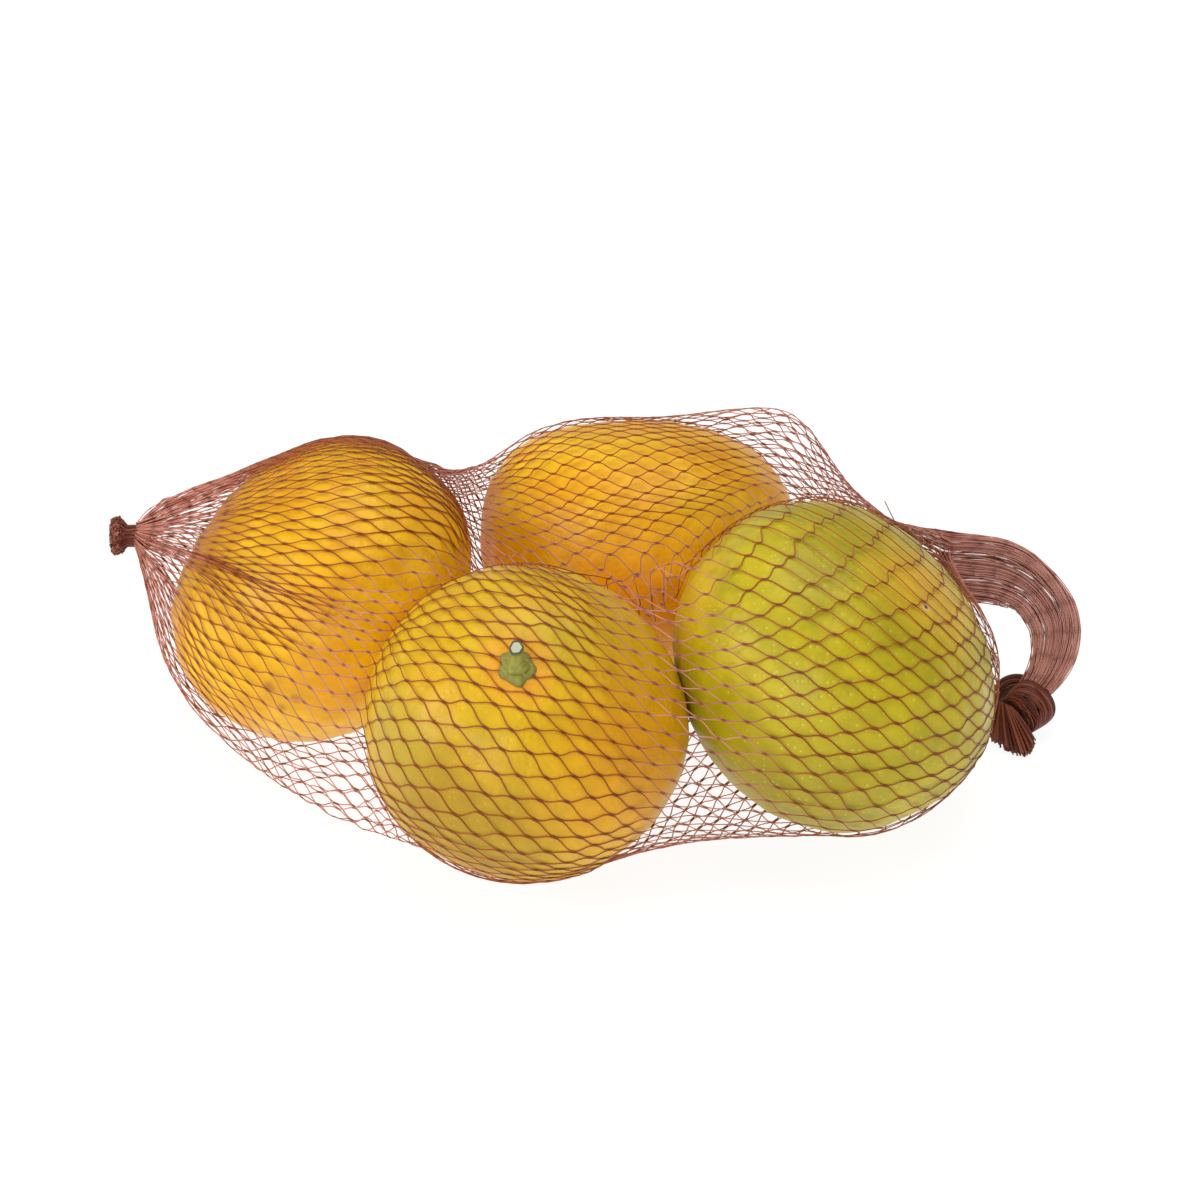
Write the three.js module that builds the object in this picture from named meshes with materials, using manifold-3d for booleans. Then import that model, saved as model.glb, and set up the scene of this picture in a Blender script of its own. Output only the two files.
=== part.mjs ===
// A knitted tube net, crimped shut at one end and knotted at the other, with four small
// citrus fruit in it. The filled net is one closed solid: the net drawn over the fruit,
// slack where it hangs free, then its flat tail and the knot.
// Millimetres, +Z up, standing on z = 0. The tube runs along +X from the crimp to the knot.

import * as THREE from 'three';
import { mergeVertices } from 'three/addons/utils/BufferGeometryUtils.js';
import Module from 'manifold-3d';

// ---- driving dimensions -------------------------------------------------------------

// Each fruit is a squat round: a girth radius across its axis and a pole radius along it.
const FRUIT = [
  { centre: [-53.2, 12.3, 28.8], axis: [-0.72, 0.021, 0.694], girth: 31.2, pole: 25.0, power: 2.2 },
  { centre: [-13.1, -34.8, 28.5], axis: [0.302, -0.607, 0.735], girth: 29.6, pole: 26.0, power: 2.3 },
  { centre: [8.8, 33.0, 27.0], axis: [0.03, 0.443, 0.896], girth: 31.2, pole: 24.4, power: 2.5 },
  { centre: [45.3, -18.7, 30.9], axis: [0.74, -0.053, 0.67], girth: 32.8, pole: 27.3, power: 2.2 },
];

const NET_THICKNESS = 0.5;        // how far the net stands off the peel
const CRIMP_X = -89.8;            // where the crimp lets go of the net
const CRIMP_Y = 18.9;
const CRIMP_Z = 37.5;
const CRIMP_RADIUS = 2.2;         // the pinched neck
// The cut edge past the crimp flares: distance back from the crimp, and radius there.
const FLARE = [[5.2, 2.9], [4.6, 3.8], [3.2, 3.6], [1.9, 2.1]];

const TAIL_WIDE = 6.5;            // half width of the flat tail where the bag gathers into it
const TAIL_THIN = 1.6;            // half thickness there
// The tail's middle line, with its half width and half thickness.
const TAIL = [
  { at: [69.2, 14.4, 33.5], wide: TAIL_WIDE, thin: TAIL_THIN },
  { at: [80.6, 17.4, 30.3], wide: 6.2, thin: 1.7 },
  { at: [87.1, 17.4, 25.9], wide: 5.0, thin: 1.9 },
  { at: [91.0, 15.4, 19.7], wide: 4.6, thin: 1.8 },
  { at: [90.9, 12.9, 14.8], wide: 4.0, thin: 1.8 },
  { at: [88.9, 9.9, 10.6], wide: 3.2, thin: 2.0 },
  { at: [85.4, 7.4, 7.0], wide: 2.3, thin: 2.0 },
];
const TAIL_RINGS = 15;

const KNOT_CENTRE = [84.3, 6.8, 5.9];
const KNOT_RADIUS = 4.9;
// The bundles wound round the knot: the way each loop faces, its middle from the knot's
// centre, the loop's radius and the bundle's.
const WRAPS = [
  { facing: [-0.42, -0.71, 0.56], shift: [-0.5, 0.0, 0.6], loop: 3.9, bundle: 2.3 },
  { facing: [-0.75, 0.0, 0.65], shift: [-0.9, 0.6, -0.1], loop: 3.2, bundle: 2.1 },
];
const END_TIP = [81.8, -3.4, 2.0];  // where the cut end of the tail lies
const END_WIDE = 3.6;
const END_THIN = 1.3;

// Lines that the net is drawn to: where it stands slack away from the fruit, and where it
// sinks into the hollows between them.
const DRAWN_TO = [
  // the loose peak over the far side, between the third and fourth fruit
  [[21.4, 53.9, 45.6], [29.4, 53.9, 47.6], [37.7, 48.9, 51.3], [42.3, 43.9, 51.4],
    [45.4, 38.9, 48.3], [49.7, 30.9, 43.7], [53.2, 23.9, 43.2]],
  // the ridge from the crimp over the first fruit, across the gap and over the third
  [[-89.0, 21.9, 42.8], [-84.2, 21.9, 45.3], [-76.3, 22.9, 47.4], [-65.5, 24.9, 50.6],
    [-57.6, 26.4, 53.5], [-47.9, 28.4, 55.6], [-40.1, 29.4, 53.9], [-34.4, 32.9, 48.5],
    [-29.7, 36.9, 44.4], [-24.8, 39.9, 42.9], [-19.8, 42.9, 43.9], [-14.8, 44.9, 46.7],
    [-6.8, 47.4, 49.0], [1.2, 48.9, 48.1], [9.3, 50.4, 46.4], [17.3, 51.9, 45.8]],
  // the near side of the neck, then the hem that lies slack on the floor
  [[-89.0, 13.9, 36.6], [-86.6, 8.9, 33.9], [-86.2, 3.9, 26.9], [-84.8, 0.9, 19.3],
    [-79.5, 2.9, 6.2], [-66.4, -9.4, 0.8], [-57.9, -20.2, 0.8], [-44.0, -33.2, 0.8],
    [-31.4, -40.6, 0.8]],
  // round the far end of the fourth fruit
  [[79.3, -12.1, 32.7], [79.3, -14.1, 22.6], [77.3, -17.1, 13.1], [72.2, -24.1, 4.6]],
  // the hem on the floor between the second fruit and the fourth
  [[1.2, -42.2, 1.0], [9.8, -36.9, 1.0], [19.4, -33.8, 1.0], [28.9, -32.8, 1.0],
    [38.5, -33.8, 1.0]],
  // down the hollow between the first fruit and the two beyond it, then between those two
  [[-36.1, 33.9, 46.3], [-30.3, 25.9, 43.2], [-25.1, 11.9, 40.5], [-21.8, -0.1, 37.8],
    [-14.2, -3.1, 38.9], [-3.8, -5.1, 40.1], [6.0, -6.1, 39.8], [14.2, -7.1, 38.2]],
  // on down between the second fruit and the fourth, to where they touch
  [[14.0, -10.5, 37.8], [13.7, -14.5, 37.1], [13.4, -18.5, 36.3], [13.0, -22.0, 35.7]],
];
const HELD_STEP = 4.0;            // one held point every so far along those lines

const RINGS = 64;                 // rings of the net from the crimp to the tail
const AROUND = 48;                // points round each ring
const SETTLE_ROUNDS = 1200;       // pulling the tube tight over the fruit
const HELD_ROUNDS = 1600;         // then with points held on the lines above
const HELD_EASE = 400;            // rounds over which they are drawn there
const FREE_ROUNDS = 2;            // last rounds with nothing held
const PULL_ALONG = 1.0;           // how hard the net pulls lengthwise
const PULL_AROUND = 0.2;          // and round its girth
const CINCH_PULL = 0.4;           // more of it where it is drawn in between two fruit
const CINCH_X = -23.8;
const CINCH_REACH = 11;
const SPREAD = 0.1;               // how far the points of a ring spread out evenly
const SPREAD_EVERY = 10;
const OVERSHOOT = 0.9;

// The middle of the solid's box, so that the origin is the middle of its bottom face.
const BOX_MIDDLE = [0.33, 0.09];

// ---- small vector helpers -----------------------------------------------------------

const vec = (a) => new THREE.Vector3(...a);
const mix = (a, b, t) => a + (b - a) * t;

/** Value of evenly placed samples at t from 0 to 1, straight between neighbours. */
function along(values, t) {
  const place = t * (values.length - 1);
  const low = Math.min(Math.floor(place), values.length - 2);
  return mix(values[low], values[low + 1], place - low);
}

// ---- the net drawn over the fruit ---------------------------------------------------

const fruitForms = FRUIT.map((fruit) => ({
  ...fruit,
  centre: vec(fruit.centre),
  axis: vec(fruit.axis).normalize(),
}));

/** Move a point that is inside a fruit straight out to just over its peel. */
function holdOff(point) {
  for (const fruit of fruitForms) {
    const out = point.clone().sub(fruit.centre);
    const distance = out.length();
    if (distance > fruit.girth + NET_THICKNESS + 2) continue;
    const towardPole = Math.abs(out.dot(fruit.axis)) / distance;
    const towardGirth = Math.sqrt(Math.max(0, 1 - towardPole * towardPole));
    const sum = (towardGirth / fruit.girth) ** fruit.power + (towardPole / fruit.pole) ** fruit.power;
    const surface = sum ** (-1 / fruit.power) + NET_THICKNESS;
    if (distance < surface) point.copy(fruit.centre).addScaledVector(out, surface / distance);
  }
  point.z = Math.max(point.z, 0);
}

/** One ring of points: an ellipse round centre, its halves along the two given ways. */
function ellipseRing(centre, across, up) {
  return Array.from({ length: AROUND }, (_, j) => {
    const angle = (2 * Math.PI * j) / AROUND;
    return centre.clone()
      .addScaledVector(across, Math.cos(angle))
      .addScaledVector(up, Math.sin(angle));
  });
}

const crimpCentre = new THREE.Vector3(CRIMP_X, CRIMP_Y, CRIMP_Z);

function crimpRing(back, radius) {
  const centre = crimpCentre.clone();
  centre.x -= back;
  return ellipseRing(centre, new THREE.Vector3(0, radius, 0), new THREE.Vector3(0, 0, radius));
}

/** The flat tail: ellipses along a smooth curve, their wide way facing out and up. */
const tailCurve = new THREE.CatmullRomCurve3(TAIL.map((station) => vec(station.at)), false, 'centripetal');
const TAIL_FACE = new THREE.Vector3(0, -0.848, 0.53);  // the way that the flat of the tail faces

function tailRing(t) {
  const heading = tailCurve.getTangent(t);
  const wide = TAIL_FACE.clone().cross(heading).normalize();
  const thin = wide.clone().cross(heading).normalize();
  wide.multiplyScalar(along(TAIL.map((station) => station.wide), t));
  thin.multiplyScalar(along(TAIL.map((station) => station.thin), t));
  return ellipseRing(tailCurve.getPoint(t), thin, wide);
}

/** A roomy tube round all the fruit, from the crimp to the tail, before it is pulled tight. */
function roomyTube() {
  const tailStart = vec(TAIL[0].at);
  const rings = [crimpRing(0, CRIMP_RADIUS)];
  for (let i = 1; i < RINGS - 1; i += 1) {
    const t = i / (RINGS - 1);
    const swell = Math.sin(Math.PI * t) ** 0.35;
    const centre = crimpCentre.clone().lerp(tailStart, t);
    centre.y = mix(centre.y, 3.9, swell);
    centre.z = mix(centre.z, 33, swell);
    rings.push(ellipseRing(
      centre,
      new THREE.Vector3(0, 3 + 67 * swell, 0),
      new THREE.Vector3(0, 0, 3 + 40 * swell),
    ));
  }
  rings.push(tailRing(0));
  return rings;
}

/** Slide the points of each ring a little toward even spacing round it. */
function spreadEvenly(rings) {
  for (let i = 1; i < rings.length - 1; i += 1) {
    const loop = [...rings[i], rings[i][0]].map((point) => point.clone());
    const run = [0];
    for (let j = 1; j <= AROUND; j += 1) run.push(run[j - 1] + loop[j].distanceTo(loop[j - 1]));
    let span = 0;
    for (let j = 0; j < AROUND; j += 1) {
      const target = mix(run[j], (run[AROUND] * j) / AROUND, SPREAD);
      while (span < AROUND - 1 && run[span + 1] < target) span += 1;
      const part = (target - run[span]) / (run[span + 1] - run[span]);
      rings[i][j].lerpVectors(loop[span], loop[span + 1], part);
    }
  }
}

/** Points every HELD_STEP along the lines that the net is drawn to. */
function heldPoints() {
  const points = [];
  for (const line of DRAWN_TO) {
    for (let k = 0; k < line.length - 1; k += 1) {
      const from = vec(line[k]);
      const to = vec(line[k + 1]);
      const steps = Math.max(1, Math.round(from.distanceTo(to) / HELD_STEP));
      for (let s = 0; s < steps; s += 1) points.push(from.clone().lerp(to, s / steps));
    }
    points.push(vec(line[line.length - 1]));
  }
  return points;
}

/** Pair each such point with the nearest net point that is still free. */
function takeNearest(rings, points) {
  const taken = new Set();
  return points.map((target) => {
    let best = null;
    let bestDistance = Infinity;
    for (let i = 1; i < rings.length - 1; i += 1) {
      for (const point of rings[i]) {
        const distance = point.distanceToSquared(target);
        if (distance < bestDistance && !taken.has(point)) {
          best = point;
          bestDistance = distance;
        }
      }
    }
    taken.add(best);
    return { point: best, target };
  });
}

/** Every net point moves to the weighted mean of its four neighbours. */
function pullTight(rings) {
  const before = rings.map((ring) => ring.map((point) => point.clone()));
  for (let i = 1; i < rings.length - 1; i += 1) {
    const middleX = before[i].reduce((sum, point) => sum + point.x, 0) / AROUND;
    const around = PULL_AROUND + CINCH_PULL * Math.exp(-(((middleX - CINCH_X) / CINCH_REACH) ** 2));
    const total = 2 * (PULL_ALONG + around);
    for (let j = 0; j < AROUND; j += 1) {
      const mean = new THREE.Vector3()
        .addScaledVector(before[i - 1][j], PULL_ALONG / total)
        .addScaledVector(before[i + 1][j], PULL_ALONG / total)
        .addScaledVector(before[i][(j + 1) % AROUND], around / total)
        .addScaledVector(before[i][(j + AROUND - 1) % AROUND], around / total);
      rings[i][j].lerp(mean, OVERSHOOT);
      holdOff(rings[i][j]);
    }
  }
}

function drapedNet() {
  const rings = roomyTube();
  for (let round = 1; round <= SETTLE_ROUNDS; round += 1) {
    pullTight(rings);
    if (round % SPREAD_EVERY === 0) spreadEvenly(rings);
  }
  const held = takeNearest(rings, heldPoints());
  for (let round = 0; round < HELD_ROUNDS; round += 1) {
    pullTight(rings);
    if (round >= HELD_ROUNDS - FREE_ROUNDS) continue;
    const ease = Math.min(1, round / HELD_EASE);
    for (const { point, target } of held) point.lerp(target, ease);
  }
  return rings;
}

// ---- closed solids ------------------------------------------------------------------

/** A closed skin over a row of rings, each end shut by a fan to its middle. */
function skinOver(rings) {
  const size = rings[0].length;
  const points = rings.flat();
  const faces = [];
  for (let i = 0; i < rings.length - 1; i += 1) {
    for (let j = 0; j < size; j += 1) {
      const here = i * size + j;
      const next = i * size + ((j + 1) % size);
      faces.push(here, next, here + size);
      faces.push(next, next + size, here + size);
    }
  }
  for (const [ring, flip] of [[0, true], [rings.length - 1, false]]) {
    const middle = points.length;
    points.push(rings[ring].reduce((sum, point) => sum.add(point), new THREE.Vector3()).divideScalar(size));
    for (let j = 0; j < size; j += 1) {
      const here = ring * size + j;
      const next = ring * size + ((j + 1) % size);
      faces.push(middle, flip ? next : here, flip ? here : next);
    }
  }
  const geometry = new THREE.BufferGeometry();
  geometry.setAttribute('position', new THREE.Float32BufferAttribute(points.flatMap((p) => p.toArray()), 3));
  geometry.setIndex(faces);
  return geometry;
}

const wasm = await Module();
wasm.setup();

function toSolid(source) {
  const bare = source.clone();
  bare.deleteAttribute('normal');
  bare.deleteAttribute('uv');
  const merged = mergeVertices(bare, 1e-4);
  return new wasm.Manifold(new wasm.Mesh({
    numProp: 3,
    vertProperties: new Float32Array(merged.getAttribute('position').array),
    triVerts: new Uint32Array(merged.getIndex().array),
  }));
}

function toGeometry(solid) {
  const mesh = solid.getMesh();
  const geometry = new THREE.BufferGeometry();
  geometry.setAttribute('position', new THREE.BufferAttribute(new Float32Array(mesh.vertProperties), 3));
  geometry.setIndex(new THREE.BufferAttribute(new Uint32Array(mesh.triVerts), 1));
  geometry.computeVertexNormals();
  return geometry;
}

/** The crimp's flare, the draped bag and the flat tail as one row of rings. */
function bagAndTail() {
  const rings = FLARE.map(([back, radius]) => crimpRing(back, radius));
  rings.push(...drapedNet());
  for (let k = 1; k <= TAIL_RINGS; k += 1) rings.push(tailRing(k / TAIL_RINGS));
  return skinOver(rings);
}

/** The overhand knot: a core, two bundles wound round it aslant, and the cut end. */
function knotSolids() {
  const centre = vec(KNOT_CENTRE);
  const core = new THREE.SphereGeometry(KNOT_RADIUS, 20, 12);
  core.scale(0.92, 0.92, 1.02);
  const wraps = WRAPS.map((wrap) => {
    const ring = new THREE.TorusGeometry(wrap.loop, wrap.bundle, 10, 20);
    const facing = vec(wrap.facing).normalize();
    ring.applyQuaternion(new THREE.Quaternion().setFromUnitVectors(new THREE.Vector3(0, 0, 1), facing));
    return ring.translate(...wrap.shift);
  });
  const solids = [core, ...wraps].map((shape) => shape.translate(...KNOT_CENTRE));
  const tip = vec(END_TIP);
  const stations = [0, 0.35, 0.6, 0.8, 0.93, 1];
  const half = [2.0, 1.9, 1.8, 2.2, END_WIDE, END_WIDE * 0.8];
  const cutEnd = stations.map((t, k) => {
    const at = centre.clone().lerp(tip, t);
    at.z = mix(centre.z, tip.z, Math.sin((t * Math.PI) / 2));
    const thin = k === stations.length - 1 ? END_THIN * 0.6 : mix(1.8, END_THIN, t);
    return ellipseRing(at, new THREE.Vector3(-half[k], 0, 0), new THREE.Vector3(0, 0, thin));
  }).map((ring) => ring.filter((_, j) => j % 4 === 0));
  solids.push(skinOver(cutEnd));
  return solids;
}

function filledNet() {
  let joined = toSolid(bagAndTail());
  for (const piece of knotSolids()) joined = joined.add(toSolid(piece));
  // The windings shut in a few small pockets: only the outer skin is kept.
  const shells = joined.decompose();
  const outer = shells.reduce((best, shell) => (shell.volume() > best.volume() ? shell : best));
  return toGeometry(outer).translate(-BOX_MIDDLE[0], -BOX_MIDDLE[1], 0);
}

const net = new THREE.Mesh(
  filledNet(),
  new THREE.MeshStandardMaterial({ color: 0xd9a032, roughness: 0.55, metalness: 0 }),
);
net.name = 'net_bag';

const part = new THREE.Group();
part.add(net);

export default part;
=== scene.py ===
"""Four clementines in a knitted tube net, crimped shut at the left and knotted at the right.

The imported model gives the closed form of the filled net. This script lays the real net over
the same form, strand by strand, with the fruit inside it. Lengths are in millimetres until a
mesh is made, and in metres from there on.
"""

import math

import bpy
import numpy as np
from mathutils import Matrix


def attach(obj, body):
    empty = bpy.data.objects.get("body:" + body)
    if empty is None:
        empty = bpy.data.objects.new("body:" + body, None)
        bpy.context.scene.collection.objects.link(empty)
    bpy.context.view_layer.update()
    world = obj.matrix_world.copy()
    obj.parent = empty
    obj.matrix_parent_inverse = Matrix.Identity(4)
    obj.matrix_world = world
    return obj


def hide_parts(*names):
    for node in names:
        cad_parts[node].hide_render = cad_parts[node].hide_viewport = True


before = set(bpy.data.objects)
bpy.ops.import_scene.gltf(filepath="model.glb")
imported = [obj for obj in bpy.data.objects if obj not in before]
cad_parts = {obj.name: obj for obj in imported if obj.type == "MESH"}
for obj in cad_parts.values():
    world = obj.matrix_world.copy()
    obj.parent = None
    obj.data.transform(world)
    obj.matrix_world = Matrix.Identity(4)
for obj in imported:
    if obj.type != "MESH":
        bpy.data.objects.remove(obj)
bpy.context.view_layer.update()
MM = 0.001
TINY = 1e-9


def unit(vectors, spare=0.0):
    """Vectors over their lengths; spare, added to each length, keeps a zero from dividing."""
    return vectors / (np.linalg.norm(vectors, axis=-1, keepdims=True) + spare)


def angles(count):
    """Even angles round a circle."""
    return np.linspace(0, 2 * np.pi, count, endpoint=False)


# ---- camera -------------------------------------------------------------------------
# A long lens about 0.9 m away, looking down on the net from its long side.

LOOK_DOWN = math.radians(32)
AIM = np.array([0.87, -8.19, 30.0])
DISTANCE = 900.0
FRAME_PIXELS = 1200
FOCAL_PIXELS = 4675
AIM_BELOW_MIDDLE = 41  # pixels
SENSOR = 36.0

tilt = math.atan(AIM_BELOW_MIDDLE / FOCAL_PIXELS)
ACROSS = np.array([1.0, 0.0, 0.0])
UPWARD = np.array([0.0, math.sin(LOOK_DOWN), math.cos(LOOK_DOWN)])
TOWARD = np.array([0.0, -math.cos(LOOK_DOWN), math.sin(LOOK_DOWN)])
EYE = AIM + TOWARD * DISTANCE
eye_up = math.cos(tilt) * UPWARD + math.sin(tilt) * TOWARD
eye_back = math.cos(tilt) * TOWARD - math.sin(tilt) * UPWARD

lens = bpy.data.cameras.new("camera")
lens.sensor_width = SENSOR
lens.lens = SENSOR * FOCAL_PIXELS / FRAME_PIXELS
lens.clip_start = 0.05
lens.clip_end = 10
camera = bpy.data.objects.new("camera", lens)
turn = np.eye(4)
turn[:3, 0], turn[:3, 1], turn[:3, 2] = ACROSS, eye_up, eye_back
turn[:3, 3] = EYE * MM
camera.matrix_world = Matrix(turn.tolist())
bpy.context.scene.collection.objects.link(camera)
bpy.context.scene.camera = camera


def sight(pixel):
    """The unit line of sight through a pixel of the 1200-pixel frame: the pixel's offset from
    the middle over the focal length, along the camera's right and down, plus straight ahead."""
    across, down = (np.array(pixel, float) - FRAME_PIXELS / 2) / FOCAL_PIXELS
    return unit(across * ACROSS - down * eye_up - eye_back)


# ---- floor and light ----------------------------------------------------------------
# A white table lit from below, with soft boxes low at the left, low in front and overhead, so
# that no shadow shows and pale light comes up round the undersides.

bpy.context.scene.view_settings.view_transform = "Standard"


def linear(code):
    """A colour given as sRGB hex, as linear red, green, blue and alpha: each channel c is
    c / 12.92 below 0.04045, and ((c + 0.055) / 1.055) to the power 2.4 above it."""
    srgb = np.array([int(code[k : k + 2], 16) / 255 for k in (1, 3, 5)])
    lit = np.where(srgb <= 0.04045, srgb / 12.92, ((srgb + 0.055) / 1.055) ** 2.4)
    return (*lit.tolist(), 1.0)


def add(tree, kind, inputs=None, **settings):
    """Add a node. Settings are its properties; inputs are its sockets, by name or number,
    and one that is given another node's output is linked to it."""
    made = tree.nodes.new(kind)
    for name, value in settings.items():
        setattr(made, name, value)
    for name, value in (inputs or {}).items():
        if isinstance(value, bpy.types.NodeSocket):
            tree.links.new(value, made.inputs[name])
        else:
            made.inputs[name].default_value = value
    return made


def new_material(name, constants):
    """A material and its node tree, with the constants set on its Principled node."""
    material = bpy.data.materials.new(name)
    material.use_nodes = True
    surface = material.node_tree.nodes["Principled BSDF"]
    for socket, value in constants.items():
        surface.inputs[socket].default_value = value
    return material, material.node_tree, surface


def mix(tree, share, one, other):
    """A colour a share of the way from one to another, each sRGB hex or a node's output."""
    one, other = (linear(c) if isinstance(c, str) else c for c in (one, other))
    return add(tree, "ShaderNodeMix", {0: share, 6: one, 7: other}, data_type="RGBA").outputs[2]


def ramp(tree, value, low, high, start=0.0, end=1.0, kind="LINEAR"):
    """What goes from start to end while a value goes from low to high."""
    return add(tree, "ShaderNodeMapRange", {0: value, 1: low, 2: high, 3: start, 4: end},
               interpolation_type=kind).outputs[0]


def noise(tree, place, size, detail, roughness=0.5):
    """Noise over a place, its broadest waves of about a size in millimetres."""
    return add(tree, "ShaderNodeTexNoise", {
        "Vector": place, "Scale": 1 / (size * MM), "Detail": detail,
        "Roughness": roughness}).outputs["Fac"]


def make_mesh(name, points, *faces, material):
    """A mesh object from points in millimetres and arrays of faces, each array with the same
    number of corners in every row."""
    mesh = bpy.data.meshes.new(name)
    points = np.asarray(points, float).reshape(-1, 3) * MM
    faces = [np.asarray(f, int) for f in faces if len(f)]
    corners = np.concatenate([np.full(len(f), f.shape[1]) for f in faces])
    mesh.vertices.add(len(points))
    mesh.vertices.foreach_set("co", points.ravel())
    mesh.loops.add(int(corners.sum()))
    mesh.loops.foreach_set("vertex_index", np.concatenate([f.ravel() for f in faces]))
    mesh.polygons.add(len(corners))
    mesh.polygons.foreach_set("loop_start", np.concatenate([[0], np.cumsum(corners)[:-1]]))
    mesh.polygons.foreach_set("use_smooth", np.full(len(corners), True))
    mesh.update(calc_edges=True)
    mesh.validate()
    mesh.materials.append(material)
    piece = bpy.data.objects.new(name, mesh)
    bpy.context.scene.collection.objects.link(piece)
    return piece


# White glass lit from below: it glows evenly, and takes hardly any shadow or shine.
table_white, tree, surface = new_material("lit_white_table", {
    "Base Color": linear("#707070"), "Roughness": 0.8, "Specular IOR Level": 0.1,
    "Emission Color": linear("#ffffff"), "Emission Strength": 0.9})
FLOOR_HALF = 4000.0
floor_corners = FLOOR_HALF * np.array([[-1, -1, 0], [1, -1, 0], [1, 1, 0], [-1, 1, 0]])
floor = make_mesh("floor", floor_corners, [[0, 1, 2, 3]], material=table_white)

world = bpy.data.worlds.new("white_room")
world.use_nodes = True
backdrop = world.node_tree.nodes["Background"].inputs
backdrop["Color"].default_value = linear("#ffffff")
backdrop["Strength"].default_value = 0.45
bpy.context.scene.world = world


def soft_box(name, place, size, power):
    """A square area light at a place, of a size in millimetres and a power in watts, turned to
    face the middle of the net."""
    light = bpy.data.lights.new(name, "AREA")
    light.size = size * MM
    light.energy = power
    box = bpy.data.objects.new(name, light)
    back = unit(np.array(place, float) - AIM)
    side = unit(np.cross([0.0, 0.0, 1.0], back))
    pose = np.eye(4)
    pose[:3, 0], pose[:3, 1], pose[:3, 2] = side, np.cross(back, side), back
    pose[:3, 3] = np.array(place) * MM
    box.matrix_world = Matrix(pose.tolist())
    bpy.context.scene.collection.objects.link(box)


soft_box("left_box", (-850, -300, 450), 420, 3.6)
soft_box("front_box", (-260, -900, 330), 420, 2.6)
soft_box("top_box", (80, 150, 1050), 900, 5.2)

# ---- fruit --------------------------------------------------------------------------
# Four clementines, squat rounds of loose, oily peel. They have grown uneven: broad swells,
# shallow furrows toward the ends, and fine pits over the oil glands.

BOX_MIDDLE = np.array([0.33, 0.09, 0.0])
FRUIT = {
    "fruit_left": dict(centre=(-53.2, 12.3, 28.8), axis=(-0.72, 0.021, 0.694),
                       girth=31.2, pole=25.0, power=2.2, seed=3),
    "fruit_front": dict(centre=(-13.1, -34.8, 28.5), axis=(0.302, -0.607, 0.735),
                        girth=29.6, pole=26.0, power=2.3, seed=5),
    "fruit_back": dict(centre=(8.8, 33.0, 27.0), axis=(0.03, 0.443, 0.896),
                       girth=31.2, pole=24.4, power=2.5, seed=7),
    "fruit_right": dict(centre=(45.3, -18.7, 30.9), axis=(0.74, -0.053, 0.67),
                        girth=32.8, pole=27.3, power=2.2, seed=11),
}
SWELLS = 14           # broad swells summed over each fruit
SWELL_HEIGHT = 0.16   # of each
DIMPLES = 40          # finer unevenness, about 5 mm across
DIMPLE_HEIGHT = 0.022
FURROWS = 9           # furrows round the ends
FURROW_DEPTH = 0.09
FLAT_UNDERSIDE = 0.3  # the lowest that peel comes to the floor
UNDERSIDE_SOFT = 0.04 # how softly it flattens there, in square millimetres
GRID_ROUND = 320
GRID_DOWN = 156

for fruit in FRUIT.values():
    fruit["centre"] = np.array(fruit["centre"]) - BOX_MIDDLE
    fruit["axis"] = unit(np.array(fruit["axis"]))
    fruit["hollow"] = []
    fruit["ends"] = [-fruit["axis"]]


def plain_radius(fruit, cosine):
    """The regular form: one over the power-th root of (sine / girth) ^ power plus
    (cosine / pole) ^ power, the sine and cosine being those of the angle from the axis."""
    sine = np.sqrt(np.clip(1 - cosine * cosine, 0, 1))
    power = fruit["power"]
    total = (sine / fruit["girth"]) ** power + (np.abs(cosine) / fruit["pole"]) ** power
    return total ** (-1 / power)


def peel_radius(fruit, out):
    """The grown form toward unit directions out: the regular form, plus sine waves over the
    sphere in random directions, minus furrows that fade away from the ends, minus hollows."""
    cosine = out @ fruit["axis"]
    radius = plain_radius(fruit, cosine)
    rng = np.random.default_rng(fruit["seed"])
    for count, height, low, high in (
        (SWELLS, SWELL_HEIGHT, 2.0, 5.5),
        (DIMPLES, DIMPLE_HEIGHT, 16.0, 34.0),
    ):
        ways = rng.normal(size=(count, 3))
        ways *= (rng.uniform(low, high, count) / np.linalg.norm(ways, axis=1))[:, None]
        phases = rng.uniform(0, 2 * np.pi, count)
        radius = radius + height * np.sin(out @ ways.T + phases).sum(-1)
    for end in fruit["ends"]:
        side = unit(np.cross(end, [0.0, 0.6, 0.8]))
        angle = np.arctan2(out @ np.cross(end, side), out @ side)
        apart = np.arccos(np.clip(out @ end, -1, 1)) * fruit["girth"]
        near_end = (apart / 3) ** 2 * np.exp(-apart / 3)
        ripple = np.cos(FURROWS * angle + fruit["seed"] + 1.3 * np.sin(2 * angle))
        radius = radius + FURROW_DEPTH * near_end * ripple
    for toward, width, depth in fruit["hollow"]:
        apart = np.arccos(np.clip(out @ toward, -1, 1)) * fruit["girth"]
        radius = radius - depth * np.exp(-((apart / width) ** 2))
    return radius


def on(fruit, pixel):
    """Where the line of sight through a pixel first meets a fruit's regular form: the first
    of a row of points along the line, 0.01 mm apart, that is inside it."""
    way = np.linspace(DISTANCE - 120, DISTANCE + 60, 18001)
    line = EYE + way[:, None] * sight(pixel)
    out = line - fruit["centre"]
    far = np.linalg.norm(out, axis=1)
    inside = far < plain_radius(fruit, out @ fruit["axis"] / far)
    return line[int(np.argmax(inside))]


def grid_faces(rows, columns):
    """Quads over a grid of points that is closed round its columns."""
    here = np.arange(rows - 1)[:, None] * columns + np.arange(columns)
    beside = np.arange(rows - 1)[:, None] * columns + (np.arange(columns) + 1) % columns
    quads = np.stack([here, beside, beside + columns, here + columns], -1)
    return quads.reshape(-1, 4)


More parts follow.
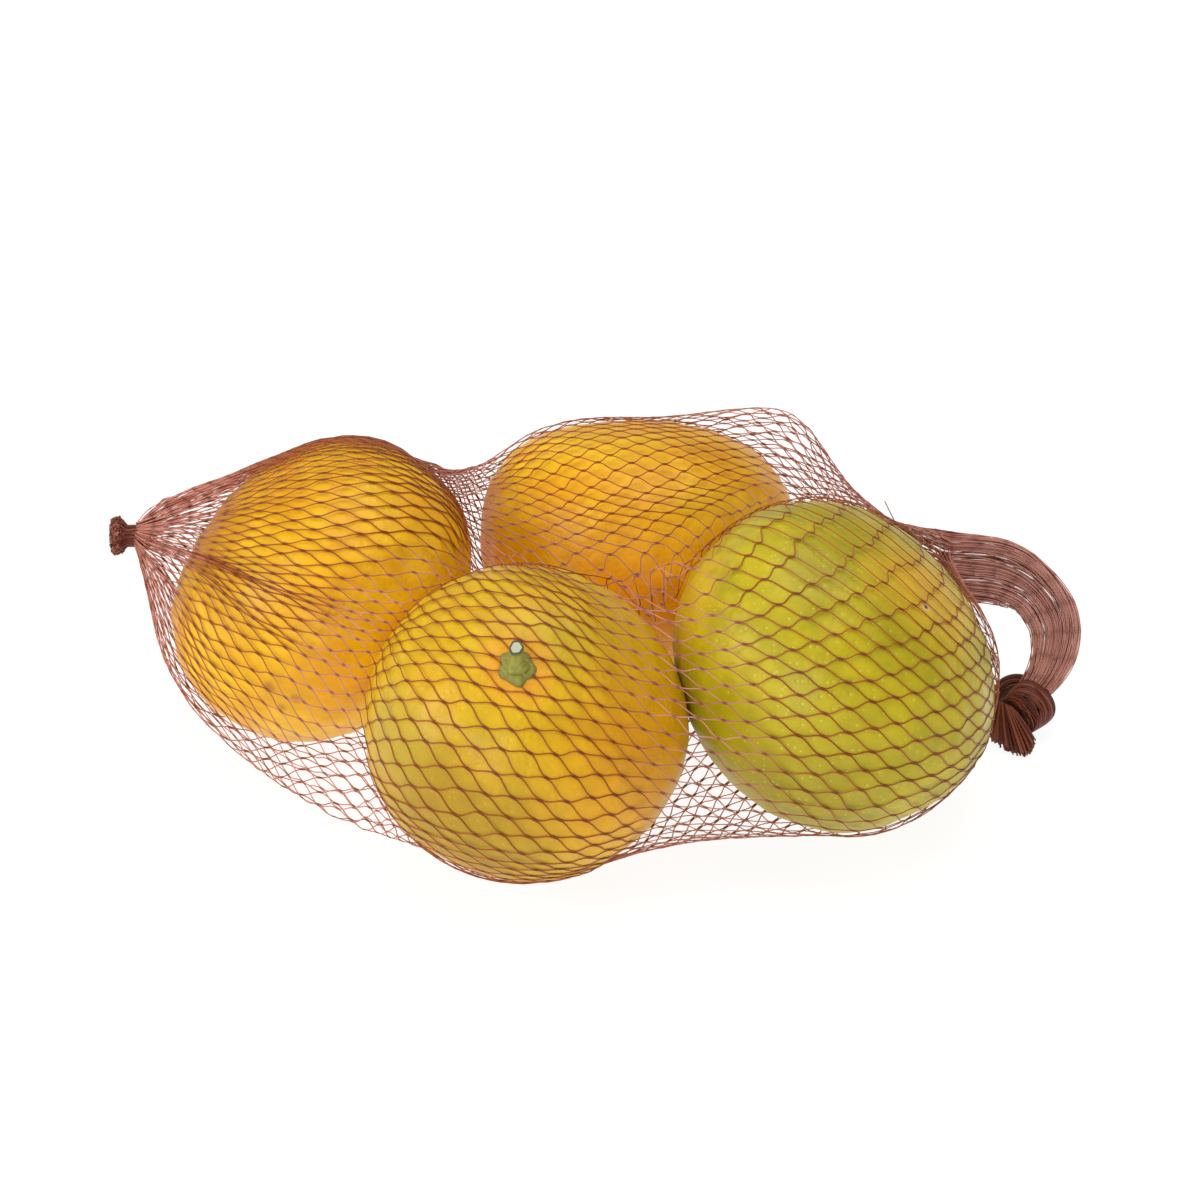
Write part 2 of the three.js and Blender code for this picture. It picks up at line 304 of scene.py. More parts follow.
def make_fruit(name, fruit, material):
    """A round grid: rows from end to end of the axis and columns about it, each point at the
    grown radius, with one point closing each end."""
    down = np.linspace(0, np.pi, GRID_DOWN + 2)[1:-1, None]
    round_ = angles(GRID_ROUND)[None]
    side = unit(np.cross(fruit["axis"], [0.0, 0.0, 1.0]))
    other = np.cross(fruit["axis"], side)
    out = (np.cos(down) * np.ones_like(round_))[..., None] * fruit["axis"]
    out = out + (np.sin(down) * np.cos(round_))[..., None] * side
    out = out + (np.sin(down) * np.sin(round_))[..., None] * other
    out = np.concatenate([out.reshape(-1, 3), [fruit["axis"]], [-fruit["axis"]]])
    points = fruit["centre"] + out * peel_radius(fruit, out)[:, None]
    low = points[:, 2] - FLAT_UNDERSIDE
    points[:, 2] = FLAT_UNDERSIDE + (low + np.sqrt(low * low + UNDERSIDE_SOFT)) / 2
    quads = grid_faces(GRID_DOWN, GRID_ROUND)
    last = GRID_DOWN * GRID_ROUND
    ring = np.arange(GRID_ROUND)
    after = (ring + 1) % GRID_ROUND
    top = np.stack([np.full(GRID_ROUND, last), ring, after], -1)
    base = (GRID_DOWN - 1) * GRID_ROUND
    bottom = np.stack([np.full(GRID_ROUND, last + 1), base + after, base + ring], -1)
    piece = make_mesh(name, points, quads[:, ::-1], top, bottom, material=material)
    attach(piece, "root")
    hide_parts("net_bag")


# Clementine peel: a waxed, oily skin that lights softly from within. The gloss is broad and
# broken by the pits; each gland shows as a pale dot about 0.4 mm across.
GLAND_SPACING = 1.45
PATCH_SIZE = 11.0     # of the drift from one colour to the other
MOTTLE_SIZE = 3.2     # of the finer unevenness of colour and height
PORE_SIZE = 0.5
PIT_DEPTH = 0.1
EDGE_WANDER = 1.6     # how far a patch's edge wanders, for each millimetre of its softness


def peel_material(name, ground, turned, gland, gland_share, patches):
    """Peel that drifts from a ground colour to a turned one, with soft-edged patches laid
    over it, each a colour, a middle and a radius in millimetres, an edge and a share."""
    material, tree, surface = new_material(name, {
        "Roughness": 0.40, "IOR": 1.46, "Specular IOR Level": 0.35, "Subsurface Weight": 0.12,
        "Subsurface Radius": (1.0, 0.55, 0.15), "Subsurface Scale": 2.0 * MM})
    place = add(tree, "ShaderNodeTexCoord").outputs["Object"]
    drift = noise(tree, place, PATCH_SIZE, detail=3.0, roughness=0.55)
    mottle = noise(tree, place, MOTTLE_SIZE, detail=2.0)
    colour = mix(tree, ramp(tree, drift, 0.36, 0.64, kind="SMOOTHSTEP"), ground, turned)
    wobble = add(tree, "ShaderNodeMath", {0: drift, 1: -0.5}, operation="ADD").outputs[0]
    for shade, middle, radius, edge, share in patches:
        away = add(tree, "ShaderNodeVectorMath", {
            0: place, 1: tuple(np.array(middle) * MM)}, operation="DISTANCE").outputs["Value"]
        shifted = add(tree, "ShaderNodeMath", {
            0: wobble, 1: edge * EDGE_WANDER * MM, 2: away}, operation="MULTIPLY_ADD").outputs[0]
        mask = ramp(
            tree, shifted, (radius - edge) * MM, (radius + edge) * MM, share, 0.0, "SMOOTHSTEP")
        colour = mix(tree, mask, colour, shade)
    from_gland = add(tree, "ShaderNodeTexVoronoi", {
        "Vector": place, "Scale": 1 / (GLAND_SPACING * MM), "Randomness": 0.75}).outputs["Distance"]
    dots = ramp(tree, from_gland, 0.06, 0.24, gland_share, 0.0, "SMOOTHSTEP")
    colour = mix(tree, dots, colour, gland)
    tone = ramp(tree, mottle, 0.3, 0.7, 0.93, 1.07)
    shaded = add(tree, "ShaderNodeVectorMath", {0: colour, 3: tone}, operation="SCALE").outputs[0]
    tree.links.new(shaded, surface.inputs["Base Color"])
    pits = ramp(tree, from_gland, 0.05, 0.55, kind="SMOOTHSTEP")
    pores = noise(tree, place, PORE_SIZE, detail=1.0)
    relief = add(tree, "ShaderNodeMath", {0: pores, 1: 0.35, 2: pits}, operation="MULTIPLY_ADD")
    relief = add(tree, "ShaderNodeMath", {
        0: mottle, 1: 1.6, 2: relief.outputs[0]}, operation="MULTIPLY_ADD")
    bump = add(tree, "ShaderNodeBump", {
        "Strength": 0.7, "Distance": PIT_DEPTH * MM, "Height": relief.outputs[0]})
    tree.links.new(bump.outputs[0], surface.inputs["Normal"])
    return material


# The pixel where the stem of the front fruit meets the peel, and the width and depth of the
# hollow round it.
STEM_FOOT = (517, 668)
STEM_HOLLOW = (5.5, 0.7)
left, front, back, right = FRUIT.values()
stem_foot = on(front, STEM_FOOT)
stem_way = unit(stem_foot - front["centre"])
front["hollow"].append((stem_way, *STEM_HOLLOW))
front["ends"] = [stem_way]

peel_left = peel_material(
    "clementine_peel_yellow_orange", "#f2bc12", "#eaa80c", "#dd950c", 0.25,
    [   # three small bruises in a duller patch, and a yellower patch to the left
        ("#cf942a", on(left, (283, 695)), 4.0, 3.0, 0.4),
        ("#a8652a", on(left, (268, 688)), 1.2, 0.8, 0.6),
        ("#a8652a", on(left, (296, 700)), 1.1, 0.8, 0.6),
        ("#a8652a", on(left, (281, 708)), 0.8, 0.6, 0.5),
        ("#d9a81e", on(left, (230, 600)), 12.0, 8.0, 0.5),
    ],
)
peel_front = peel_material(
    "clementine_peel_yellow", "#deb512", "#d8a80e", "#ecc840", 0.2,
    [   # green low at the left and at the bottom, both also darkened as painted shade on the underside; green at the upper right; orange at the right and round the stem
        ("#a07e12", on(front, (425, 805)), 15.0, 11.0, 0.85),
        ("#b08a18", on(front, (500, 850)), 13.0, 10.0, 0.7),
        ("#bda42a", on(front, (395, 740)), 8.0, 7.0, 0.5),
        ("#bfa820", on(front, (560, 640)), 6.0, 5.0, 0.55),
        ("#e89c12", on(front, (640, 770)), 16.0, 11.0, 0.7),
        ("#eba01e", stem_foot, 6.5, 3.0, 0.8),
    ],
)
peel_back = peel_material(
    "clementine_peel_orange_yellow", "#f6c014", "#f0ac0c", "#f6cb48", 0.2,
    [("#ffab10", on(back, (640, 620)), 15.0, 10.0, 0.9)],     # brighter orange in the hollow: the peel's own orange, and painted light that lifts the shade there
)
peel_right = peel_material(
    "clementine_peel_green_yellow", "#c4b014", "#b0a00c", "#dbd25c", 0.5,
    [   # two green and two yellow patches, the lower green one also painted shade on the underside, a pale ring mark with a dark middle, a speck, a scuff
        ("#8f941c", on(right, (690, 720)), 12.0, 9.0, 0.6),
        ("#9c8a14", on(right, (800, 800)), 14.0, 10.0, 0.7),
        ("#e0b61a", on(right, (690, 600)), 9.0, 6.0, 0.75),
        ("#e8b428", on(right, (930, 590)), 11.0, 8.0, 0.75),
        ("#dcc58a", on(right, (926, 607)), 1.0, 0.3, 0.8),
        ("#5a3a20", on(right, (926, 607)), 0.45, 0.2, 1.0),
        ("#4d3018", on(right, (707, 762)), 0.7, 0.3, 0.9),
        ("#d8cf8a", on(right, (985, 705)), 3.5, 2.5, 0.5),
    ],
)
for (name, fruit), peel in zip(FRUIT.items(), (peel_left, peel_front, peel_back, peel_right)):
    make_fruit(name, fruit, peel)

# ---- net: the way it lies ------------------------------------------------------------
# A knitted tube drawn over the fruit from the crimp to the tail. It is found as the net is
# found in the part's source: a roomy tube is pulled tight over the fruit, then drawn to the
# lines where it stands slack, so that both have one form.

STAND_OFF = 0.3           # of the pulled net over the peel
NEAR_PEEL = 3.0           # points farther than this outside a fruit's girth are left alone
CRIMP = np.array([-89.8, 18.9, 37.5]) - BOX_MIDDLE
CRIMP_RADIUS = 2.2
# The tail: stations along its middle line, its half width and half thickness at each, and
# the way its flat side faces.
TAIL_AT = np.array([
    [69.2, 14.4, 33.5], [80.6, 17.4, 30.3], [87.1, 17.4, 25.9], [91.0, 15.4, 19.7],
    [90.9, 12.9, 14.8], [88.9, 9.9, 10.6], [85.4, 7.4, 7.0]]) - BOX_MIDDLE
TAIL_WIDE = np.array([6.5, 6.2, 5.0, 4.6, 4.0, 3.2, 2.3])
TAIL_THIN = np.array([1.6, 1.7, 1.9, 1.8, 1.8, 2.0, 2.0])
TAIL_FACE = np.array([0.0, -0.848, 0.53])
TAIL_RINGS = 15
# The lines that hold the net, in turn: behind, from the back fruit to the right one; the ridge
# from the crimp past the left and the back fruit; from the crimp down to the hem at the left;
# down the right fruit's side; the hem in front; the hollow between the left, back and front
# fruit; and on between the front and the right one.
DRAWN_TO = [
    [[21.4, 53.9, 45.6], [29.4, 53.9, 47.6], [37.7, 48.9, 51.3], [42.3, 43.9, 51.4],
     [45.4, 38.9, 48.3], [49.7, 30.9, 43.7], [53.2, 23.9, 43.2]],
    [[-89.0, 21.9, 42.8], [-84.2, 21.9, 45.3], [-76.3, 22.9, 47.4], [-65.5, 24.9, 50.6],
     [-57.6, 26.4, 53.5], [-47.9, 28.4, 55.6], [-40.1, 29.4, 53.9], [-34.4, 32.9, 48.5],
     [-29.7, 36.9, 44.4], [-24.8, 39.9, 42.9], [-19.8, 42.9, 43.9], [-14.8, 44.9, 46.7],
     [-6.8, 47.4, 49.0], [1.2, 48.9, 48.1], [9.3, 50.4, 46.4], [17.3, 51.9, 45.8]],
    [[-89.0, 13.9, 36.6], [-86.6, 8.9, 33.9], [-86.2, 3.9, 26.9], [-84.8, 0.9, 19.3],
     [-79.5, 2.9, 6.2], [-66.4, -9.4, 0.8], [-57.9, -20.2, 0.8], [-44.0, -33.2, 0.8],
     [-31.4, -40.6, 0.8]],
    [[79.3, -12.1, 32.7], [79.3, -14.1, 22.6], [77.3, -17.1, 13.1], [72.2, -24.1, 4.6]],
    [[1.2, -42.2, 1.0], [9.8, -36.9, 1.0], [19.4, -33.8, 1.0], [28.9, -32.8, 1.0],
     [38.5, -33.8, 1.0]],
    [[-36.1, 33.9, 46.3], [-30.3, 25.9, 43.2], [-25.1, 11.9, 40.5], [-21.8, -0.1, 37.8],
     [-14.2, -3.1, 38.9], [-3.8, -5.1, 40.1], [6.0, -6.1, 39.8], [14.2, -7.1, 38.2]],
    [[14.0, -10.5, 37.8], [13.7, -14.5, 37.1], [13.4, -18.5, 36.3], [13.0, -22.0, 35.7]],
]
HELD_STEP = 4.0           # between two held points of a line
RINGS = 64
AROUND = 48               # points round a ring
ROOMY_AT = np.array([3.9 - BOX_MIDDLE[1], 33.0])        # the roomy tube's middle, back and up
ROOMY_WIDE = (3, 67)      # its half width at the ends, and what half way adds to it
ROOMY_TALL = (3, 40)
SETTLE_ROUNDS = 1200      # without held points
HELD_ROUNDS = 1600        # and with them
HELD_EASE = 400           # rounds in which they come to their lines
FREE_ROUNDS = 2           # rounds at the end in which they move freely again
PULL_ALONG = 1.0          # weight of the neighbours along the net
PULL_AROUND = 0.2         # and of those round it
CINCH_PULL = 0.4          # what is added to that where the net is drawn in
CINCH_X = -23.8 - BOX_MIDDLE[0]
CINCH_REACH = 11.0
SPREAD = 0.1              # of the way to even spacing round a ring
SPREAD_EVERY = 10         # rounds between two such steps
OVERSHOOT = 0.9           # of the way to the mean in one round
turn_round = 2 * np.pi * np.arange(AROUND) / AROUND


def hold_off(points, stand_off, radius_of):
    """Points inside a fruit go straight out to stand_off over it; none goes below the floor."""
    for fruit in FRUIT.values():
        out = points - fruit["centre"]
        far = np.linalg.norm(out, axis=-1)
        close = far < fruit["girth"] + NEAR_PEEL
        near = out[close] / far[close][:, None]
        reach = radius_of(fruit, near) + stand_off
        lifted = fruit["centre"] + near * np.maximum(far[close], reach)[:, None]
        points[close] = lifted
    points[..., 2] = np.maximum(points[..., 2], 0)
    return points


def regular_radius(fruit, out):
    """The regular form's radius toward unit directions."""
    return plain_radius(fruit, out @ fruit["axis"])


def ellipse(centre, across, upward):
    """Rings round centres: centre plus cosine times one half axis plus sine times the other."""
    cosine = np.cos(turn_round)[:, None]
    sine = np.sin(turn_round)[:, None]
    return centre[..., None, :] + cosine * across[..., None, :] + sine * upward[..., None, :]


def smooth_curve(stations, at):
    """A centripetal Catmull-Rom curve through stations, at places from 0 to their last index.
    Each stretch is a cubic Hermite between two stations, with slopes from its neighbours that
    are weighted by the square roots of the gaps."""
    ends = [2 * stations[0] - stations[1], *stations, 2 * stations[-1] - stations[-2]]
    held = np.array(ends)
    gap = np.sqrt(np.linalg.norm(np.diff(held, axis=0), axis=1))[:, None]
    k = np.clip(np.floor(at).astype(int), 0, len(stations) - 2)
    t = (at - k)[:, None]
    p0, p1, p2, p3 = held[k], held[k + 1], held[k + 2], held[k + 3]
    g0, g1, g2 = gap[k], gap[k + 1], gap[k + 2]
    first = ((p1 - p0) / g0 - (p2 - p0) / (g0 + g1) + (p2 - p1) / g1) * g1
    second = ((p2 - p1) / g1 - (p3 - p1) / (g1 + g2) + (p3 - p2) / g2) * g1
    return (
        p1 * (2 * t**3 - 3 * t**2 + 1)
        + first * (t**3 - 2 * t**2 + t)
        + p2 * (3 * t**2 - 2 * t**3)
        + second * (t**3 - t**2)
    )


def tail_rings(part):
    """Flat rings along the tail's middle line, at shares of its length."""
    at = part * (len(TAIL_AT) - 1)
    heading = unit(smooth_curve(TAIL_AT, at + 1e-3) - smooth_curve(TAIL_AT, at - 1e-3))
    wide = unit(np.cross(TAIL_FACE, heading))
    thin = np.cross(wide, heading)
    wide *= np.interp(at, np.arange(len(TAIL_AT)), TAIL_WIDE)[:, None]
    thin *= np.interp(at, np.arange(len(TAIL_AT)), TAIL_THIN)[:, None]
    return ellipse(smooth_curve(TAIL_AT, at), thin, wide)


def spread_evenly(rings, share):
    """Slide the points of each inner ring by a share toward even spacing round it."""
    loops = np.concatenate([rings, rings[:, :1]], 1)
    step = np.linalg.norm(np.diff(loops, axis=1), axis=-1)
    run = np.concatenate([np.zeros((len(rings), 1)), np.cumsum(step, 1)], 1)
    spread = rings.copy()
    for i in range(1, len(rings) - 1):
        target = run[i, :-1] * (1 - share) + share * run[i, -1] * np.arange(AROUND) / AROUND
        for axis in range(3):
            spread[i, :, axis] = np.interp(target, run[i], loops[i, :, axis])
    return spread


def drape():
    """The tube pulled tight: every inner point moves again and again to the weighted mean of
    its four neighbours and off the fruit, at first free, then with held points on their lines."""
    part = (np.arange(RINGS) / (RINGS - 1))[:, None]
    swell = np.sin(np.pi * part) ** 0.35
    middle = CRIMP + (TAIL_AT[0] - CRIMP) * part
    middle[:, 1:] += (ROOMY_AT - middle[:, 1:]) * swell
    y_axis, z_axis = np.array([[0.0, 1.0, 0.0]]), np.array([[0.0, 0.0, 1.0]])
    (narrow, broad), (low, high) = ROOMY_WIDE, ROOMY_TALL
    rings = ellipse(middle, (narrow + broad * swell) * y_axis, (low + high * swell) * z_axis)
    rings[0] = ellipse(CRIMP, CRIMP_RADIUS * y_axis[0], CRIMP_RADIUS * z_axis[0])
    rings[-1] = tail_rings(np.array([0.0]))[0]
    held = []
    for line in DRAWN_TO:
        line = np.array(line) - BOX_MIDDLE
        for start, end in zip(line[:-1], line[1:]):
            steps = max(1, int(np.linalg.norm(end - start) / HELD_STEP + 0.5))
            held.extend(start + (end - start) * np.arange(steps)[:, None] / steps)
        held.append(line[-1])
    held = np.array(held)
    for done in range(SETTLE_ROUNDS + HELD_ROUNDS):
        if done == SETTLE_ROUNDS:
            free = np.ones(rings[1:-1].shape[:2], bool)
            held_i, held_j = [], []
            for target in held:
                apart = np.linalg.norm(rings[1:-1] - target, axis=-1)
                i, j = np.unravel_index(np.argmin(np.where(free, apart, np.inf)), apart.shape)
                free[i, j] = False
                held_i.append(i)
                held_j.append(j)
        inner = rings[1:-1]
        cinch = np.exp(-(((inner[..., 0].mean(1) - CINCH_X) / CINCH_REACH) ** 2))
        girth_pull = (PULL_AROUND + CINCH_PULL * cinch)[:, None, None]
        mean = PULL_ALONG * (rings[:-2] + rings[2:])
        mean = mean + girth_pull * (np.roll(inner, 1, 1) + np.roll(inner, -1, 1))
        mean /= 2 * (PULL_ALONG + girth_pull)
        inner = hold_off(inner + OVERSHOOT * (mean - inner), STAND_OFF, regular_radius)
        late = done - SETTLE_ROUNDS
        if 0 <= late < HELD_ROUNDS - FREE_ROUNDS:
            inner[held_i, held_j] += (held - inner[held_i, held_j]) * min(1, late / HELD_EASE)
        rings[1:-1] = inner
        if late < 0 and (done + 1) % SPREAD_EVERY == 0:
            rings = spread_evenly(rings, SPREAD)
    return rings


bag = drape()

# The tail is a flattened tube with folds in it: waves round its rings, strongest half way.
# Each is how many folds, how deep, how far they turn on the way, and their phase.
FOLDS = ((3, 0.16, 2.2, 0.5), (5, 0.09, -3.0, 2.0))
tail_part = np.arange(1, TAIL_RINGS + 1) / TAIL_RINGS
tail = tail_rings(tail_part)
fold = 1
for count, deep, turned, phase in FOLDS:
    wave = np.sin(count * turn_round + turned * tail_part[:, None] + phase)
    fold = fold + deep * np.sin(np.pi * tail_part)[:, None] * wave
tail_middle = tail.mean(1, keepdims=True)
tail = tail_middle + (tail - tail_middle) * fold[..., None]

# ---- net: the strands -----------------------------------------------------------------
# Polyethylene strands about 0.25 mm wide, knitted into diamonds: 74 wales round the tube,
# each of two strands that swing to the neighbours on either side and are caught there in a
# tight, darker stitch. A strand keeps its waves from the crimp to the knot.

WALES = 74
BAG_ROWS = 56
TAIL_ROWS = 9
STEPS = 6                 # points along a strand from one stitch to the next
SIDES = 5
STRAND_WIDE = 0.125       # half width of a strand
STRAND_THICK = 0.1        # half thickness
STITCH_SWELL = 0.4        # how much thicker it is in a stitch
STITCH_REACH = 0.13       # of the way to the next stitch
STITCH_APART = 0.13       # middle of a stitch to the middle of either strand in it
FINE = 240                # places round a ring among which the wales are shared out
# Where the wales crowd: a line, how many times denser they lie there, less one, and how far
# that reaches.
CROWDED = (
    # the ridge from the crimp over the left fruit
    (DRAWN_TO[1][:9], 3.0, 6.0),
    # the stream down between the left and the back fruit
    ([[-37.0, 30.0, 52.0], [-32.1, 33.1, 46.5], [-27.3, 22.1, 43.2], [-24.4, 13.1, 42.0],
      [-22.5, 4.1, 39.6], [-19.2, 0.1, 36.4]], 3.0, 8.0),
    # on along the front fruit's far shoulder, to where it touches the right one
    ([[-17.0, -9.0, 46.0], [-12.0, -17.0, 50.5], [-4.0, -20.0, 50.0], [3.5, -22.0, 46.5],
      [8.5, -24.0, 42.5], [13.0, -24.0, 36.0]], 1.6, 5.0),
    # the crease that runs from the crimp down over the left fruit
    ([[-89.8, 18.9, 37.5], [-75.5, -3.5, 39.5], [-68.0, -11.0, 36.5], [-58.0, -17.0, 33.0]],
     1.6, 3.5),
)
# The way the wales run. The first row numbers eleven of them, from the top of the back fruit
# forward and down to the hem; each further row is a ring, then where they cross it, in
# points round.
RUN = np.array([
    [-1, 0, 3, 5, 7, 9, 13, 16, 18, 21, 24, 27],
    [0, 6.0, 8.0, 9.3, 10.6, 11.9, 14.5, 16.4, 17.7, 19.4, 21.2, 23.2],
    [5, 6.3, 7.9, 8.9, 10.1, 11.3, 14.1, 16.1, 17.0, 17.9, 18.9, 21.6],
    [10, 6.3, 7.5, 8.4, 9.8, 11.1, 13.9, 16.1, 16.9, 17.9, 18.9, 21.7],
    [15, 6.7, 7.9, 8.7, 10.0, 11.3, 14.2, 16.2, 17.1, 18.2, 19.5, 22.0],
    [20, 6.4, 7.4, 8.2, 9.2, 10.4, 13.9, 16.1, 17.3, 18.6, 20.3, 23.0],
    [24, 5.2, 6.5, 7.4, 8.3, 9.3, 13.0, 16.2, 17.6, 19.0, 20.9, 23.4],
    [28, 3.9, 4.9, 5.6, 6.4, 7.3, 12.3, 16.6, 17.9, 19.3, 21.1, 23.3],
    [32, 4.2, 6.3, 7.5, 9.0, 11.0, 15.3, 17.8, 19.0, 20.0, 21.3, 22.9],
    [36, 6.0, 7.6, 8.7, 11.5, 16.6, 18.1, 19.4, 20.1, 21.0, 22.1, 23.5],
    [40, 6.5, 7.8, 8.9, 13.0, 18.1, 19.6, 20.6, 21.4, 22.6, 24.4, 26.0],
    [44, 6.4, 7.7, 9.3, 17.0, 19.7, 21.5, 22.8, 23.8, 25.7, 27.3, 28.8],
    [46, 6.0, 7.6, 11.5, 18.4, 20.2, 22.1, 23.5, 24.6, 26.6, 28.3, 29.9],
    [48, 5.4, 8.8, 16.2, 19.5, 20.9, 22.7, 24.1, 25.4, 27.5, 29.3, 31.0],
    [50, 5.6, 12.5, 18.4, 20.4, 21.6, 23.4, 24.9, 26.3, 28.4, 30.3, 32.1],
    [52, 6.8, 17.0, 20.0, 21.5, 22.5, 24.3, 25.8, 27.2, 29.2, 31.2, 33.2],
    [54, 8.6, 19.4, 21.2, 22.4, 23.3, 25.2, 26.8, 28.0, 30.0, 31.9, 33.9],
    [56, 11.0, 19.8, 21.8, 22.9, 24.0, 26.0, 27.6, 28.8, 30.6, 32.4, 34.3],
    [60, 15.5, 18.6, 20.4, 22.1, 23.7, 26.3, 28.2, 29.5, 31.4, 33.3, 35.2],
    [63, 17.0, 19.1, 20.5, 21.9, 23.3, 26.0, 28.0, 29.3, 31.3, 33.2, 35.0],
])
BLEND_RINGS = 1.5         # reach of the smoothing from ring to ring
BLEND_WALES = 4           # and of the rows of stitches from wale to wale
OFF_PEEL = 0.16           # a strand's middle over the peel, and over the floor
OFF_FLOOR = 0.16
DRIFT = 0.05              # how unevenly the stitches lie, in wales and rows
STITCH_LONG = 0.07        # of the way to the next, that a strand runs straight at a stitch
CROWD_GAP = 1.3           # where wales lie closer than about this, their strands are lifted
CROWD_START = 1.15        # from none at this many times that gap
LIFTS = (-0.6, 0.3)       # how far crowded strands lie under or over one another
LIFT_WAVE = 0.25          # and how far each waves up and down
WAVE_A_ROW = 0.9          # radians of that wave from one row to the next
PHASES = 6.3              # range of random phases, a full turn in radians
TAIL_DRIFT = 2            # how many times more unevenly the tail's stitches lie
TAIL_STITCH = 0.7         # how much of their dark shows there
BARE_HEIGHT = 2.2         # strands this far off the peel show their own colour; nearer it, the peel's light through them is painted in
TAIL_PAINTED_GLOW = 0.22          # how much paler, as painted light scattered among the gathered strands, they get half way along the tail
TAIL_SHADED_FOLDS = 3              # folds across the tail, painted light on one side and painted shade on the other
FOLD_SHADE_SHARE = 0.65         # how much of a strand's tone follows that painted light and shade
PIECES = 4

rng = np.random.default_rng(74)
JOIN = RINGS - 1          # the ring where the bag becomes the tail


def over_floor(points):
    """Points of a strand, none lower than a strand lies on the floor."""
    points[..., 2] = np.maximum(points[..., 2], OFF_FLOOR)
    return points


def from_line(points, line, step=1.0):
    """How far points are from a line of stations: the least of the distances to places a
    step apart along it."""
    line = np.array(line) - BOX_MIDDLE
    nearest = np.full(points.shape[:-1], np.inf)
    for start, end in zip(line[:-1], line[1:]):
        for share in np.arange(0, 1, step / np.linalg.norm(end - start)):
            place = start + (end - start) * share
            nearest = np.minimum(nearest, np.linalg.norm(points - place, axis=-1))
    return nearest


def four_weights(t):
    """The four Catmull-Rom weights of the points before, at, after and two after a place t
    of the way from one point to the next."""
    return np.stack([
        (-t + 2 * t**2 - t**3) / 2,
        (2 - 5 * t**2 + 3 * t**3) / 2,
        (t + 4 * t**2 - 3 * t**3) / 2,
        (t**3 - t**2) / 2,
    ], -1)


def pick(grid, down, round_):
    """Smooth value of a grid that is closed round its columns, at fractional rows and
    columns: Catmull-Rom weights of the four by four points about each place."""
    rows, columns = grid.shape[:2]
    down = np.clip(down, 0, rows - 1 - 1e-6)
    i, j = np.floor(down).astype(int), np.floor(round_).astype(int)
    weight_i, weight_j = four_weights(down - i), four_weights(round_ - j)
    value = 0
    for a in range(4):
        for b in range(4):
            row = np.clip(i + a - 1, 0, rows - 1)
            share = weight_i[..., a] * weight_j[..., b]
            corner = grid[row, (j + b - 1) % columns]
            value = value + (share[..., None] if corner.ndim > share.ndim else share) * corner
    return value


def share_out(rings):
    """The wales laid over the rings, one column each. Round a ring the numbered wales lie
    where RUN has them. Between two of them the rest lie at equal shares of the girth, each
    bit of which counts as many times as the net is denser there. Where they lie is then
    smoothed from ring to ring by a bell curve."""
    level = np.arange(len(rings))[:, None]
    at = np.arange(2 * FINE + 1)[None] * AROUND / FINE
    fine = pick(rings, level + 0 * at, at + 0 * level)
    dense = 1 + sum(
        more * np.exp(-((from_line(fine, line) / reach) ** 2)) for line, more, reach in CROWDED)
    step = np.linalg.norm(np.diff(fine, axis=1), axis=-1) * (dense[:, 1:] + dense[:, :-1]) / 2
    run = np.concatenate([np.zeros((len(rings), 1)), np.cumsum(step, 1)], 1)
    numbered = np.append(RUN[0, 1:], RUN[0, 1] + WALES)
    column = np.empty((len(rings), WALES))
    for i in range(len(rings)):
        crossed = [np.interp(i, RUN[1:, 0], places) for places in RUN[1:, 1:].T]
        crossed = np.append(crossed, crossed[0] + AROUND)
        passed = np.interp(crossed, at[0], run[i])
        column[i] = np.interp(np.interp(np.arange(WALES), numbered, passed), run[i], at[0])
    reach = np.arange(-8, 9)
    bell = np.exp(-((reach / BLEND_RINGS) ** 2) / 2)
    near = np.clip(level + reach, 0, len(rings) - 1)
    column = (bell[:, None] * column[near]).sum(1) / bell.sum()
    return pick(rings, level + 0 * column, column)


lay = share_out(np.concatenate([bag, tail]))


def row_table():
    """For every wale and every row of stitches, how many rings along the stitch lies: equal
    lengths along the wale from the crimp to the tail, and again along the tail. The lengths
    are smoothed by a bell curve over the neighbouring wales."""
    step = np.linalg.norm(np.diff(lay, axis=0), axis=-1)
    reach = range(-3 * BLEND_WALES, 3 * BLEND_WALES + 1)
    bell = {away: math.exp(-((away / BLEND_WALES) ** 2) / 2) for away in reach}
    step = sum(np.roll(step, away, 1) * share for away, share in bell.items()) / sum(bell.values())
    run = np.concatenate([np.zeros((1, WALES)), np.cumsum(step, 0)])
    bag_rows = np.arange(BAG_ROWS + 1) / BAG_ROWS
    tail_rows = np.arange(1, TAIL_ROWS + 1) / TAIL_ROWS
    table = np.empty((BAG_ROWS + TAIL_ROWS + 1, WALES))
    for j in range(WALES):
        bag_part = run[JOIN, j] * bag_rows
        tail_part = run[JOIN, j] + (run[-1, j] - run[JOIN, j]) * tail_rows
        stitch_at = np.concatenate([bag_part, tail_part])
        table[:, j] = np.interp(stitch_at, run[:, j], np.arange(len(lay)))
    return table


rows_at = row_table()
gap_at = np.linalg.norm((np.roll(lay, -1, 1) - np.roll(lay, 1, 1)) / 2, axis=-1)

# Where the net is drawn together its strands cling in bunches with slits between them.
SLIT_GAP = 1.5            # wales closer than this bunch up
# How many bunches round the net, how strongly drawn, drift a row and phase in radians.
BUNCHES = ((9, 0.55, 0.12, 0.4), (17, 0.4, -0.3, 2.1), (31, 0.25, 0.5, 4.0))


def on_net(row, wale):
    """The point of the lay at a row of stitches and a wale, both fractional. Where wales are
    close, sine waves round the net draw them sideways into bunches."""
    ring = pick(rows_at, row, wale)
    close = np.exp(-((pick(gap_at, ring, wale) / SLIT_GAP) ** 2))
    drawn = 0
    for count, most, drift, phase in BUNCHES:
        wave = 2 * np.pi * count / WALES
        drawn = drawn + most / wave * np.sin(wave * wale + drift * row + phase)
    return pick(lay, ring, wale + close * drawn)


